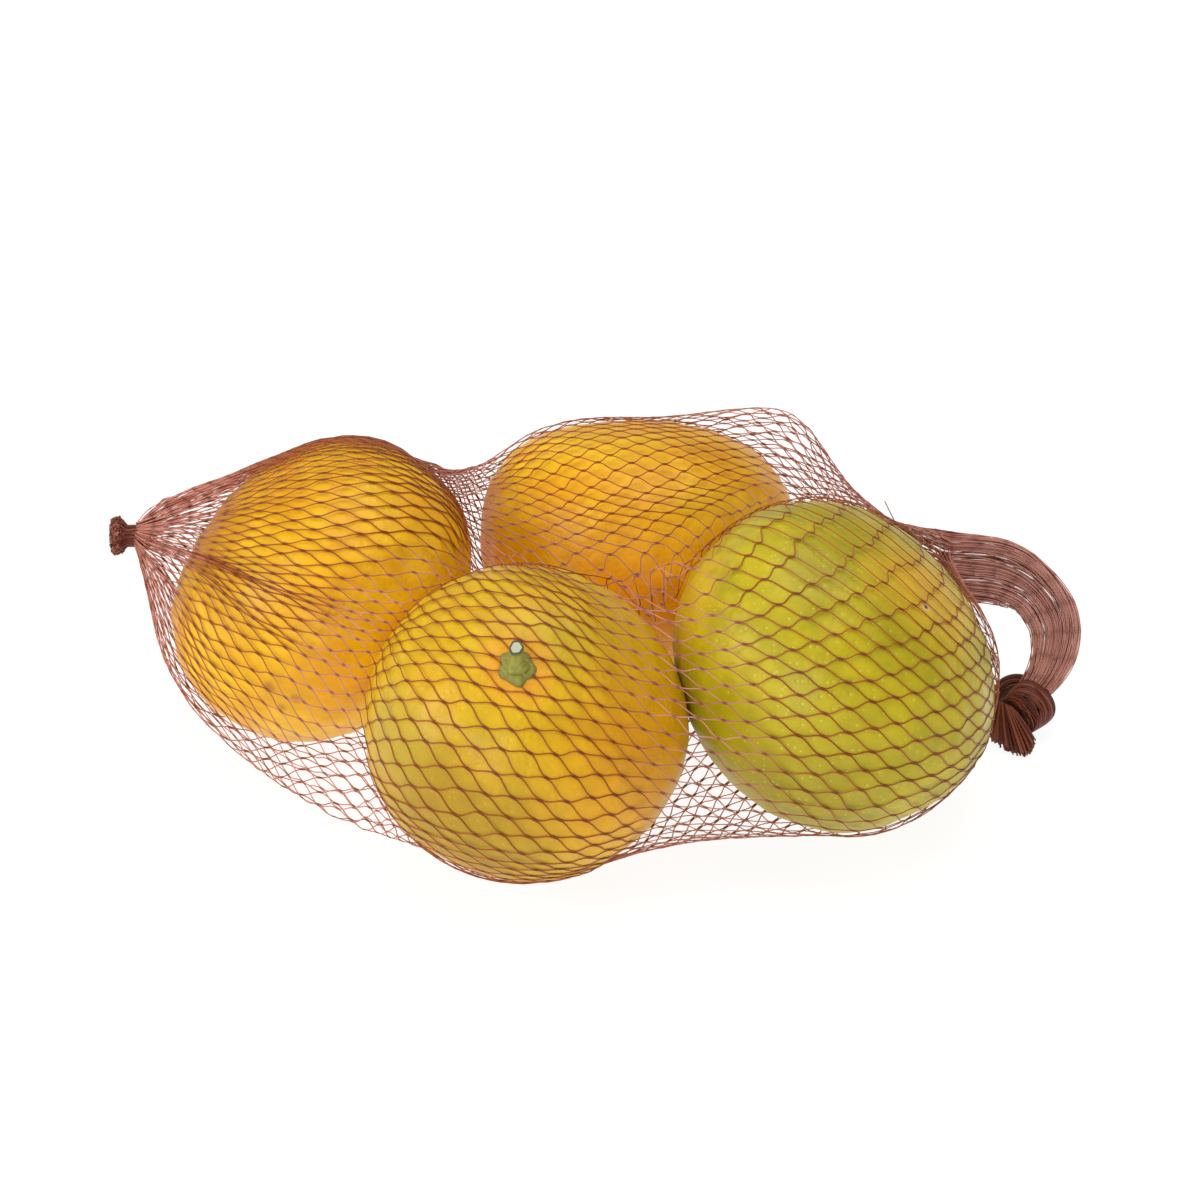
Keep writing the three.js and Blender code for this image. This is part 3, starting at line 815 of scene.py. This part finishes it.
# Where each stitch lies: evenly, but for a small drift of its own.
ROWS = BAG_ROWS + TAIL_ROWS
half_wales = 2 * WALES
drift_round = rng.normal(0, DRIFT, (ROWS + 1, half_wales))
drift_along = rng.normal(0, DRIFT, (ROWS + 1, half_wales))
drift_along[BAG_ROWS + 1:] *= TAIL_DRIFT


def strand_lines():
    """Middle lines of all strands, wave by wave. Between two stitches a strand swings half a
    wale across on a smooth step, flat at both ends; all then lie just over peel and floor."""
    rows = np.arange(ROWS + 1)
    wale = np.arange(WALES)[:, None]
    swing = (rows % 2)[None]
    halves = np.concatenate([2 * wale + swing, 2 * wale - swing])        # strands x rows
    side = np.concatenate([1 - 2 * swing + 0 * wale, 2 * swing - 1 + 0 * wale])
    at_wale = halves / 2 + drift_round[rows, halves % half_wales]
    at_row = rows + drift_along[rows, halves % half_wales]
    t = np.arange(STEPS) / STEPS
    eased = np.clip((t - STITCH_LONG) / (1 - 2 * STITCH_LONG), 0, 1)
    eased = eased * eased * (3 - 2 * eased)

    def between(values, share):
        stretch = values[:, :-1, None] + np.diff(values, axis=1)[..., None] * share
        return np.concatenate([stretch.reshape(len(values), -1), values[:, -1:]], 1)

    wale_line = between(at_wale, eased)
    row_line = between(at_row, t)
    side_line = between(side.astype(float), eased)
    from_stitch = between(np.broadcast_to(rows.astype(float), at_row.shape), t)
    from_stitch = np.abs(from_stitch - np.round(from_stitch))
    points = on_net(row_line, wale_line)
    step = 0.05
    around = on_net(row_line, wale_line + step) - on_net(row_line, wale_line - step)
    along = on_net(row_line + step, wale_line) - on_net(row_line - step, wale_line)
    gap = np.linalg.norm(around, axis=-1) / (2 * step)
    around = unit(around, TINY)
    outward = unit(np.cross(around, along), TINY)
    apart = np.minimum(STITCH_APART, 0.3 * gap)
    points = points + around * (side_line * apart)[..., None]
    crowd = np.clip(CROWD_START - gap / CROWD_GAP, 0, 1)
    lift = rng.uniform(*LIFTS, (len(points), 1))
    phase = rng.uniform(0, PHASES, (len(points), 1))
    lift = lift + LIFT_WAVE * np.sin(WAVE_A_ROW * row_line + phase)
    points = points + outward * (crowd * lift)[..., None]
    points = over_floor(hold_off(points, OFF_PEEL, peel_radius))
    return points, outward, from_stitch


def bare_share(points):
    """How little peel there is behind points: one less the bell curve of their height over
    the nearest fruit."""
    height = np.full(points.shape[:-1], np.inf)
    for fruit in FRUIT.values():
        out = points - fruit["centre"]
        far = np.linalg.norm(out, axis=-1)
        reach = plain_radius(fruit, (out / far[..., None]) @ fruit["axis"])
        height = np.minimum(height, far - reach)
    return 1 - np.exp(-((np.maximum(height, 0) / BARE_HEIGHT) ** 2))


def tubes(lines, outward, wide, thick):
    """Closed tubes along lines of points: at each point an ellipse of SIDES corners across
    the line, its long half beside the line and its short half outward, and a flat end cap."""
    count, length = lines.shape[:2]
    heading = unit(np.gradient(lines, axis=1), TINY)
    beside = unit(np.cross(outward, heading), TINY)
    upright = np.cross(heading, beside)
    angle = 2 * np.pi * np.arange(SIDES) / SIDES
    points = lines[:, :, None] + (
        (wide[..., None] * np.cos(angle))[..., None] * beside[:, :, None]
        + (thick[..., None] * np.sin(angle))[..., None] * upright[:, :, None]
    )
    base = (np.arange(count) * length * SIDES)[:, None, None]
    quads = (base + grid_faces(length, SIDES)).reshape(-1, 4)
    first = base[:, 0] + np.arange(SIDES)[::-1]
    last = base[:, 0] + (length - 1) * SIDES + np.arange(SIDES)
    return points.reshape(-1, 3), quads, np.concatenate([first, last])


def paint(piece, **shades):
    """Keep numbers for a piece's material to read, each by its name: one per point, or one
    for all of them."""
    for name, values in shades.items():
        attribute = piece.data.attributes.new(name, "FLOAT", "POINT")
        values = np.resize(np.asarray(values, np.float32), len(piece.data.vertices))
        attribute.data.foreach_set("value", values)


# Red-brown polyethylene, drawn and slightly clear. Where it lies on peel, the peel's light that
# would come through it is painted in as a darker orange-brown; it is lighter and pinker where
# strands are free; palest half way along the tail, painted light for what scatters among the
# gathered strands; dark where a stitch holds them; and darkest, as painted shade, where they
# are packed together in the crimp and the knot.
net_strand, tree, surface = new_material("drawn_polyethylene_red_brown", {
    "Roughness": 0.42, "IOR": 1.51, "Specular IOR Level": 0.25})
stitch, tone, bare = (
    add(tree, "ShaderNodeAttribute", attribute_name=name).outputs["Fac"]
    for name in ("stitch", "tone", "bare"))
painted_tail_glow = ramp(tree, bare, 1.0, 2.0)
held = ramp(tree, stitch, 0.0, 1.4)
packed_shade = ramp(tree, stitch, 1.2, 2.2)
lying_painted_peel_light = mix(tree, tone, "#b0602a", "#94481c")
loose = mix(tree, painted_tail_glow, mix(tree, tone, "#d3917f", "#b06a58"), "#f3cdc2")
strand = mix(tree, bare, lying_painted_peel_light, loose)
shade = mix(tree, packed_shade, mix(tree, held, strand, "#6c2f17"), "#2e1614")
tree.links.new(shade, surface.inputs["Base Color"])

lines, outward, from_stitch = strand_lines()
stitch_share = np.exp(-((from_stitch / STITCH_REACH) ** 2))
swell = 1 + STITCH_SWELL * stitch_share
stitch_share[:, BAG_ROWS * STEPS:] *= TAIL_STITCH
tones = np.repeat(rng.uniform(0, 1, len(lines))[:, None], lines.shape[1], 1)
bareness = bare_share(lines)
along_tail = np.clip((np.arange(lines.shape[1]) / STEPS - BAG_ROWS) / TAIL_ROWS, 0, 1)
# Painted light: half way along the tail the strands are painted paler, for light scattered among
# them.
bareness = bareness + TAIL_PAINTED_GLOW * np.sin(np.pi * along_tail) ** 0.6
order = np.arange(2 * WALES) % WALES
# Painted light and shade: across the tail, the strands of each fold are painted lighter on one side
# and darker on the other.
lit = 0.5 + 0.5 * np.sin(2 * np.pi * TAIL_SHADED_FOLDS * order / WALES)[:, None]
tones = tones + FOLD_SHADE_SHARE * (lit - tones) * np.minimum(1, 2 * along_tail)
for k in range(PIECES):
    mine = (order * PIECES) // WALES == k
    points, quads, caps = tubes(
        lines[mine], outward[mine], STRAND_WIDE * swell[mine], STRAND_THICK * swell[mine])
    piece = make_mesh(f"net_strands_{k + 1}", points, quads, caps, material=net_strand)
    paint(
        piece, stitch=np.repeat(stitch_share[mine], SIDES), tone=np.repeat(tones[mine], SIDES),
        bare=np.repeat(bareness[mine], SIDES))
    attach(piece, "root")
    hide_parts("net_bag")

# ---- loose ends ------------------------------------------------------------------------
# Two strands of the net that have snapped over the right fruit and stand up from it, bent.

SNAPPED = np.array([
    [[57.2, -2.9, 53.4], [56.6, -2.4, 54.5], [55.9, -1.7, 55.7], [55.2, -1.0, 57.0]],
    [[57.2, -2.9, 53.4], [56.0, -2.7, 54.1], [54.7, -2.3, 54.9], [53.4, -2.2, 55.6]]])
SNAPPED_WIDE = 0.11
SNAPPED_THICK = 0.09

even = np.ones(SNAPPED.shape[:2])
points, quads, caps = tubes(
    SNAPPED, np.broadcast_to(TOWARD, SNAPPED.shape), SNAPPED_WIDE * even, SNAPPED_THICK * even)
snapped = make_mesh("net_snapped_strands", points, quads, caps, material=net_strand)
paint(snapped, stitch=0.6, tone=0.5, bare=1.0)
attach(snapped, "root")
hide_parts("net_bag")

# ---- calyx and stem --------------------------------------------------------------------
# The green button that the front clementine hung by: a five-lobed calyx pressed to the peel,
# and the stub of its stalk, clipped slanting so that the pale wood shows.

CALYX_RADIUS = 3.8
LOBES = 5
LOBE_DEPTH = 0.09
CALYX_EDGE = 0.22         # height of its edge over the peel
CALYX_DOME = 1.0          # and of its middle over the edge
CALYX_POINTS = 80         # round it
STUB_LENGTH = 4.9
STUB_LEAN = 0.75          # how far it leans upright from the way out of the peel
STUB_POINTS = 40
# Along the stub: share of its length, radius, and whether it is cut wood.
STUB = np.array([
    [0.05, 2.3, 0], [0.13, 2.0, 0], [0.24, 1.66, 0], [0.4, 1.42, 0], [0.65, 1.3, 0],
    [0.86, 1.3, 0], [0.95, 1.34, 0.3], [0.995, 1.26, 0.5], [1.0, 1.14, 0.5],
    [0.985, 1.0, 0.55], [0.975, 0.9, 1], [0.97, 0.6, 1], [0.975, 0.25, 1]])

stem_side = unit(np.cross(UPWARD, stem_way))
stem_up = np.cross(stem_way, stem_side)


def calyx_cap():
    """A closed five-lobed cap on the peel. Its rim is a circle with a cosine of five waves
    for the lobes, and smaller sines of three and eight that make them uneven. Its height
    over the peel is the edge plus a dome that falls off with the square of the way out, and
    the underside is sunk in the peel."""
    theta = angles(CALYX_POINTS)[None]
    way_out = np.array([0.02, 0.2, 0.4, 0.6, 0.75, 0.88, 0.96, 1.0, 0.97, 0.6, 0.02])[:, None]
    height = np.array([1, 0.96, 0.84, 0.64, 0.44, 0.23, 0.07, -0.2, -0.6, -1, -1])[:, None]
    wave = np.cos(LOBES * theta + 0.9) + 0.35 * np.sin(3 * theta + 0.4) + 0.2 * np.sin(8 * theta)
    rim = CALYX_RADIUS * (1 + LOBE_DEPTH * wave)
    reach = way_out * rim / front["girth"]
    out = stem_way + (reach * np.cos(theta))[..., None] * stem_side
    out = out + (reach * np.sin(theta))[..., None] * stem_up
    out = unit(out)
    ridge = 0.10 * np.cos(2 * LOBES * theta) * way_out
    lift = np.where(height > 0, CALYX_EDGE + CALYX_DOME * height + ridge, 0.4 * height + ridge)
    lift[-4:] = np.minimum(lift[-4:], lift[-5] - 0.1)
    points = front["centre"] + out * (peel_radius(front, out) + lift)[..., None]
    edge = np.clip((way_out - 0.7) / 0.3, 0, 1) * np.ones_like(theta)
    return points, edge


def close_ends(rows, columns):
    """Faces that shut the two open ends of a grid that is closed round its columns."""
    first = np.arange(columns)[::-1]
    last = (rows - 1) * columns + np.arange(columns)
    return np.stack([first, last])


def volume(points, quads):
    """Signed volume inside quads: positive where they point outward."""
    a, b, c, d = (points[quads[:, k]] for k in range(4))
    return (np.cross(a, b) * c).sum() / 6 + (np.cross(a, c) * d).sum() / 6


def shut_grid(name, points, material):
    """A piece from a grid closed round its columns, both ends shut, its faces outward."""
    rows, columns = points.shape[:2]
    flat = points.reshape(-1, 3)
    quads, ends = grid_faces(rows, columns), close_ends(rows, columns)
    if volume(flat - flat.mean(0), quads) < 0:
        quads, ends = quads[:, ::-1], ends[:, ::-1]
    return make_mesh(name, flat, quads, ends, material=material)


# Living green tissue, dull and slightly furrowed; dry brown at the tips, and the clipped wood
# greenish white inside a dark ring of bark.
calyx_green, tree, surface = new_material("fresh_calyx_and_cut_wood", {"Roughness": 0.62})
place = add(tree, "ShaderNodeTexCoord").outputs["Object"]
grain = noise(tree, place, size=0.9, detail=3.0)
tips, cut = (
    add(tree, "ShaderNodeAttribute", attribute_name=name).outputs["Fac"]
    for name in ("edge", "cut"))
bark = ramp(tree, cut, 0.0, 0.5)
wood = ramp(tree, cut, 0.55, 0.95)
green = "#676a20"
for share, shade in ((grain, "#aaa442"), (tips, "#7a7030"), (bark, "#4a4a2c"), (wood, "#b9bb9f")):
    green = mix(tree, share, green, shade)
tree.links.new(green, surface.inputs["Base Color"])
bump = add(tree, "ShaderNodeBump", {"Strength": 0.8, "Distance": 0.12 * MM, "Height": grain})
tree.links.new(bump.outputs[0], surface.inputs["Normal"])

cap_points, cap_edge = calyx_cap()
calyx = shut_grid("calyx", cap_points, calyx_green)
paint(calyx, edge=cap_edge.ravel(), cut=0.0)

lean = unit(stem_way + STUB_LEAN * UPWARD)
stub_side = unit(np.cross(UPWARD, lean))
stub_up = np.cross(lean, stub_side)
theta = angles(STUB_POINTS)
ribs = 1 + 0.05 * np.cos(6 * theta) + 0.04 * np.cos(3 * theta + 1)
slant = 0.5 * np.sin(theta + 0.2)
stub_radius = STUB[:, 1:2] * ribs
stub_height = STUB_LENGTH * STUB[:, :1] + (STUB[:, :1] > 0.8) * slant * STUB[:, 1:2]
stub_points = (
    stem_foot
    + stub_height[..., None] * lean
    + (stub_radius * np.cos(theta))[..., None] * stub_side
    + (stub_radius * np.sin(theta))[..., None] * stub_up
)
stub = shut_grid("stem_stub", stub_points, calyx_green)
at_tip = np.abs(STUB[:, 0] - 0.99) < 0.02
paint(stub, edge=np.repeat(at_tip, STUB_POINTS), cut=np.repeat(STUB[:, 2], STUB_POINTS))
for piece in (calyx, stub):
    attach(piece, "root")
    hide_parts("net_bag")

# ---- crimp -------------------------------------------------------------------------------
# The left end: all the strands pinched together and welded. Past the pinch they splay, and
# their cut tips have melted into a rough, grainy rim.

# How far out along the crimp, and its radius there.
FLARE = np.array([[0.0, 2.0], [1.9, 2.0], [2.9, 3.0], [3.6, 3.5], [4.3, 3.5], [4.9, 2.9],
                  [5.0, 1.8], [4.8, 0.6]])
CORE_SHARE = 0.93         # of the flare's radius that the welded core fills
SPLAY_WIDE = 0.17
SPLAY_POINTS = 12         # along a splayed strand
SPLAY_RUN = (-2.5, 4.4)   # its ends, from the pinch toward the cut edge
SPLAY_SLOPE = 0.25        # how fast the strands part on the net's side of the pinch
GRAINS = 420
GRAIN_RADIUS = (0.16, 0.34)
# Where the melted grains sit: a measure of the way over the rim, how far out that is along
# the crimp, and the radius there.
RIM = np.array([[2.6, 2.7, 3.0], [3.6, 3.6, 3.55], [4.6, 4.5, 3.5], [5.2, 4.95, 3.0],
                [7.0, 4.9, 0.3]])
CRIMP_STRANDS = 150

grain_rng = np.random.default_rng(21)
theta = angles(36)
core_radius = FLARE[:, 1:2] * (1 + 0.05 * np.sin(3 * theta + 1) + 0.04 * np.sin(7 * theta))


def round_crimp(back, radius, angle):
    """Points at distances back from the pinch, toward the cut edge, at radii and angles."""
    return np.stack([
        CRIMP[0] - back, CRIMP[1] + radius * np.cos(angle), CRIMP[2] + radius * np.sin(angle)], -1)


core_points = round_crimp(FLARE[:, :1] + 0 * theta, CORE_SHARE * core_radius, theta)
welded_core = shut_grid("crimp_core", core_points, net_strand)
core_tones = grain_rng.uniform(0, 1, core_points.shape[:2]).ravel()
paint(welded_core, stitch=1.1, tone=core_tones, bare=1.0)


def crimp_strands():
    """Short strands over the flare: each keeps its own angle round it, and its radius follows
    the flare's outline with a little of its own."""
    angle = grain_rng.uniform(0, 2 * np.pi, (CRIMP_STRANDS, 1))
    back = np.linspace(*SPLAY_RUN, SPLAY_POINTS)[None] + 0 * angle
    radius = np.interp(back, FLARE[:5, 0], FLARE[:5, 1]) * grain_rng.uniform(0.9, 1.06, angle.shape)
    radius = radius + np.clip(-back, 0, None) * SPLAY_SLOPE
    angle = angle + 0.06 * np.sin(back * 1.7 + 9 * angle)
    outward = np.stack([0 * angle, np.cos(angle), np.sin(angle)], -1)
    return round_crimp(back, radius, angle), outward


def ball(rows, columns, first):
    """A ball of radius one as a grid of rows from pole to pole, the first and last of them
    small rings at the angle first from the poles."""
    down = np.linspace(first, np.pi - first, rows)[:, None]
    round_ = angles(columns)[None]
    return np.stack([
        np.sin(down) * np.cos(round_), np.sin(down) * np.sin(round_),
        np.cos(down) + 0 * round_], -1)


def scatter(shape, middles, sizes):
    """Copies of one shut grid shape, each scaled and moved to its middle, as one mesh."""
    rows, columns = shape.shape[:2]
    flat = shape.reshape(-1, 3)
    points = middles[:, None] + sizes[:, None, None] * flat
    offset = (np.arange(len(middles)) * rows * columns)[:, None, None]
    quads = (offset + grid_faces(rows, columns)[::-1, ::-1]).reshape(-1, 4)
    ends = (offset + close_ends(rows, columns)[:, ::-1]).reshape(-1, columns)
    return points.reshape(-1, 3), quads, ends


crimp_lines, crimp_out = crimp_strands()
width = np.full(crimp_lines.shape[:2], SPLAY_WIDE)
points, quads, caps = tubes(crimp_lines, crimp_out, width, 0.8 * width)
splay = make_mesh("crimp_strands", points, quads, caps, material=net_strand)
each = SPLAY_POINTS * SIDES
# The darkest of them are painted shade, where the strands are packed together in the crimp.
splay_dark = np.repeat(grain_rng.uniform(0.9, 1.8, CRIMP_STRANDS), each)
splay_tones = np.repeat(grain_rng.uniform(0, 1, CRIMP_STRANDS), each)
paint(splay, stitch=splay_dark, tone=splay_tones, bare=1.0)

run = grain_rng.uniform(RIM[0, 0], RIM[-1, 0], GRAINS)
angle = grain_rng.uniform(0, 2 * np.pi, GRAINS)
back, radius = (np.interp(run, RIM[:, 0], RIM[:, k]) for k in (1, 2))
grain_at = round_crimp(back, radius, angle)
grain_at += grain_rng.normal(0, 0.1, grain_at.shape)
grain_size = grain_rng.uniform(*GRAIN_RADIUS, GRAINS)
coarse = ball(rows=4, columns=7, first=0.28)
points, quads, ends = scatter(coarse, grain_at, grain_size)
grains = make_mesh("crimp_melted_tips", points, quads, ends, material=net_strand)
each = coarse[..., 0].size
# The darkest of them are painted shade, where the melted tips are packed together.
grain_dark = np.repeat(grain_rng.uniform(0.5, 1.7, GRAINS), each)
grain_tones = np.repeat(grain_rng.uniform(0, 1, GRAINS), each)
paint(grains, stitch=grain_dark, tone=grain_tones, bare=1.0)
for piece in (welded_core, splay, grains):
    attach(piece, "root")
    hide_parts("net_bag")

# ---- knot --------------------------------------------------------------------------------
# The right end: the gathered tail is tied in an overhand knot and pulled hard, so that the
# strands lie side by side round it, and its cut end fans out like a brush on the floor.

KNOT = np.array([84.3, 6.8, 5.9]) - BOX_MIDDLE
SEEN = np.stack([ACROSS, UPWARD, TOWARD])
# The turn behind is a bundle bent round an arc. Its middle is across, up and toward the eye
# from the knot's; then come the arc's tip forward, its radius, its two ends in degrees
# anticlockwise from across, the bundle's radius at five places along it, and its strands.
TURN = ((-0.4, 0.4, -1.6), -0.35, 3.0, (215, -100), (1.6, 2.6, 2.8, 2.6, 1.8), 90)
# The wrap over the front: strands that fan out of the pinch, bow over the knot up and to the
# right, and tuck in again low at the right.
WRAP_STRANDS = 140
WRAP_FROM = np.array([-3.7, 0.7])
WRAP_TO = np.array([1.6, -5.8])
WRAP_BOW = 8.3            # how far the outermost bows out
WRAP_DEEP = 4.3           # how far the inner ones stand toward the eye
WRAP_AHEAD = 1.2          # and the whole wrap
WRAP_SPAN = (0.06, 1.88)  # place of the innermost, and of the rest after it, from 0 to 2
WRAP_SWING = 0.27         # how far the ends swing outward, as a share of the line
BRUSH_STRANDS = 240
BRUSH_FROM = np.array([-3.6, 0.3, 3.2])     # the pinch that the cut end fans out from
# The cut edge of the brush, in the same three ways from the knot's middle.
BRUSH_EDGE = np.array([
    [-6.6, -4.8, 1.2], [-4.8, -7.6, 3.4], [-2.2, -9.3, 5.0], [0.2, -10.1, 6.0],
    [1.9, -9.2, 5.2], [2.4, -7.0, 3.6]])
BRUSH_PINCH = np.array([2.6, -1.2, 0.8])    # width of the fan where it starts
BRUSH_LAYERS = np.array([0.3, 0.4, 0.9])    # how far its layers lie apart at the cut
BRUSH_RAGGED = (0.88, 1.03)
KNOT_STRAND = 0.2         # half width
# The dark ball of painted shade inside the knot: its middle, and its half sizes.
CORE_AT = (-0.4, 0.6, -0.4)
CORE_HALVES = np.array([4.0, 3.8, 4.0])
knot_rng = np.random.default_rng(33)


def winding(middle, forward, arc, ends, bundle, count):
    """Strands side by side in a bundle bent round an arc: each keeps its own place round the
    bundle, which turns slowly and waves a little, and its own share of the bundle's radius."""
    first = ACROSS
    second = UPWARD * math.cos(forward) + TOWARD * math.sin(forward)
    facing = np.cross(first, second)
    part = np.linspace(0, 1, 44)[None]
    along = np.radians(ends[0] + (ends[1] - ends[0]) * part)
    place = np.arange(count)[:, None] + knot_rng.uniform(-0.4, 0.4, (count, 1))
    place = 2 * np.pi * place / count
    slow = 0.10 * np.sin(4 * part + 7 * place)
    place = place + 0.5 * part + slow + 0.05 * np.sin(11 * part + 3 * place)
    own = np.sqrt(knot_rng.uniform(0.55, 1.0, (count, 1)))
    own = own * (1 + 0.04 * np.sin(9 * part + knot_rng.uniform(0, PHASES, (count, 1))))
    thick = own * np.interp(part, np.linspace(0, 1, 5), bundle)
    reach = arc + thick * np.cos(place)
    ring = np.cos(along)[..., None] * first + np.sin(along)[..., None] * second
    points = KNOT + np.array(middle) @ SEEN + reach[..., None] * ring
    points = points + (thick * np.sin(place))[..., None] * facing
    outward = np.cos(place)[..., None] * ring + np.sin(place)[..., None] * facing
    return over_floor(points), outward


def wrap():
    """Strands side by side over a dome. Each bows out from the line between the two ends by
    a sine of its place, and toward the eye by the cosine; a sine of two waves swings its
    ends outward. The innermost dip into the pinch."""
    place = np.arange(WRAP_STRANDS)[:, None] + knot_rng.uniform(-0.6, 0.6, (WRAP_STRANDS, 1))
    place = WRAP_SPAN[0] + WRAP_SPAN[1] * place / WRAP_STRANDS
    t = np.linspace(0, 1, 30)[None]
    place = place + 0.03 * np.sin(7 * t + knot_rng.uniform(0, PHASES, (WRAP_STRANDS, 1)))
    out = np.sin(np.pi * place / 2)
    bow = WRAP_BOW * out * knot_rng.uniform(0.93, 1.0, (WRAP_STRANDS, 1))
    line = WRAP_TO - WRAP_FROM
    aside = unit(np.array([-line[1], line[0]]))
    share = t - WRAP_SWING * out * np.sin(2 * np.pi * t)
    flat = WRAP_FROM + share[..., None] * line
    flat = flat + (bow * np.sin(np.pi * t) ** 0.75)[..., None] * aside
    dip = np.minimum(1, 0.3 + 2.2 * place)
    deep = WRAP_DEEP * np.cos(np.pi * place / 2) * dip * (0.3 + 0.7 * np.sin(np.pi * t))
    points = KNOT + np.concatenate([flat, deep[..., None] + WRAP_AHEAD], -1) @ SEEN
    points = over_floor(points)
    return points, unit(points - KNOT, TINY)


def brush():
    """The cut end: quadratic curves from the pinch to the ragged cut edge, each at its own
    share of the way along the edge and in its own layer, bowed up and outward on the way."""
    share = knot_rng.uniform(0, 1, (BRUSH_STRANDS, 1))
    layer = knot_rng.uniform(-1, 1, (BRUSH_STRANDS, 1))
    stations = np.linspace(0, 1, len(BRUSH_EDGE))
    tip = np.concatenate([np.interp(share, stations, BRUSH_EDGE[:, k]) for k in range(3)], 1)
    start = BRUSH_FROM + BRUSH_PINCH * np.concatenate([share - 0.4, share - 0.4, layer], 1)
    ragged = knot_rng.uniform(*BRUSH_RAGGED, (BRUSH_STRANDS, 1))
    tip = start + (tip - start) * ragged + BRUSH_LAYERS * layer
    bow = (start + tip) / 2 + np.concatenate([1.2 * (share - 0.6), 0 * share, 1.0 + 0.5 * layer], 1)
    t = np.linspace(0, 1, 14)[None, :, None]
    points = start[:, None] * (1 - t) ** 2 + 2 * bow[:, None] * t * (1 - t) + tip[:, None] * t**2
    points = over_floor(KNOT + points @ SEEN)
    return points, np.broadcast_to(TOWARD, points.shape)


# A dark ball inside the knot: painted shade that shows between its strands where the knot is deep.
core_round = ball(rows=20, columns=28, first=0.04) * CORE_HALVES
knot_shade_core = shut_grid("knot_shade_core", KNOT + CORE_AT + core_round, net_strand)
paint(knot_shade_core, stitch=2.2, tone=1.0, bare=0.0)
knot_pieces = [knot_shade_core]
bundles = (wrap(), winding(*TURN), brush())
for name, (line, out) in zip(("knot_wrap", "knot_turn", "knot_cut_end"), bundles):
    strands, each = len(line), line.shape[1] * SIDES
    width = KNOT_STRAND * knot_rng.uniform(0.7, 1.2, (strands, 1)) * np.ones(line.shape[1])
    points, quads, caps = tubes(line, out, width, 0.85 * width)
    piece = make_mesh(name, points, quads, caps, material=net_strand)
    # Their darkness is largely painted shade, where the strands are packed hard together in the
    # knot.
    dark = np.repeat(knot_rng.uniform(0.8, 2.0, strands), each)
    paint(piece, stitch=dark, tone=np.repeat(knot_rng.uniform(0, 1, strands), each), bare=0.6)
    knot_pieces.append(piece)
for piece in knot_pieces:
    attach(piece, "root")
    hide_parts("net_bag")
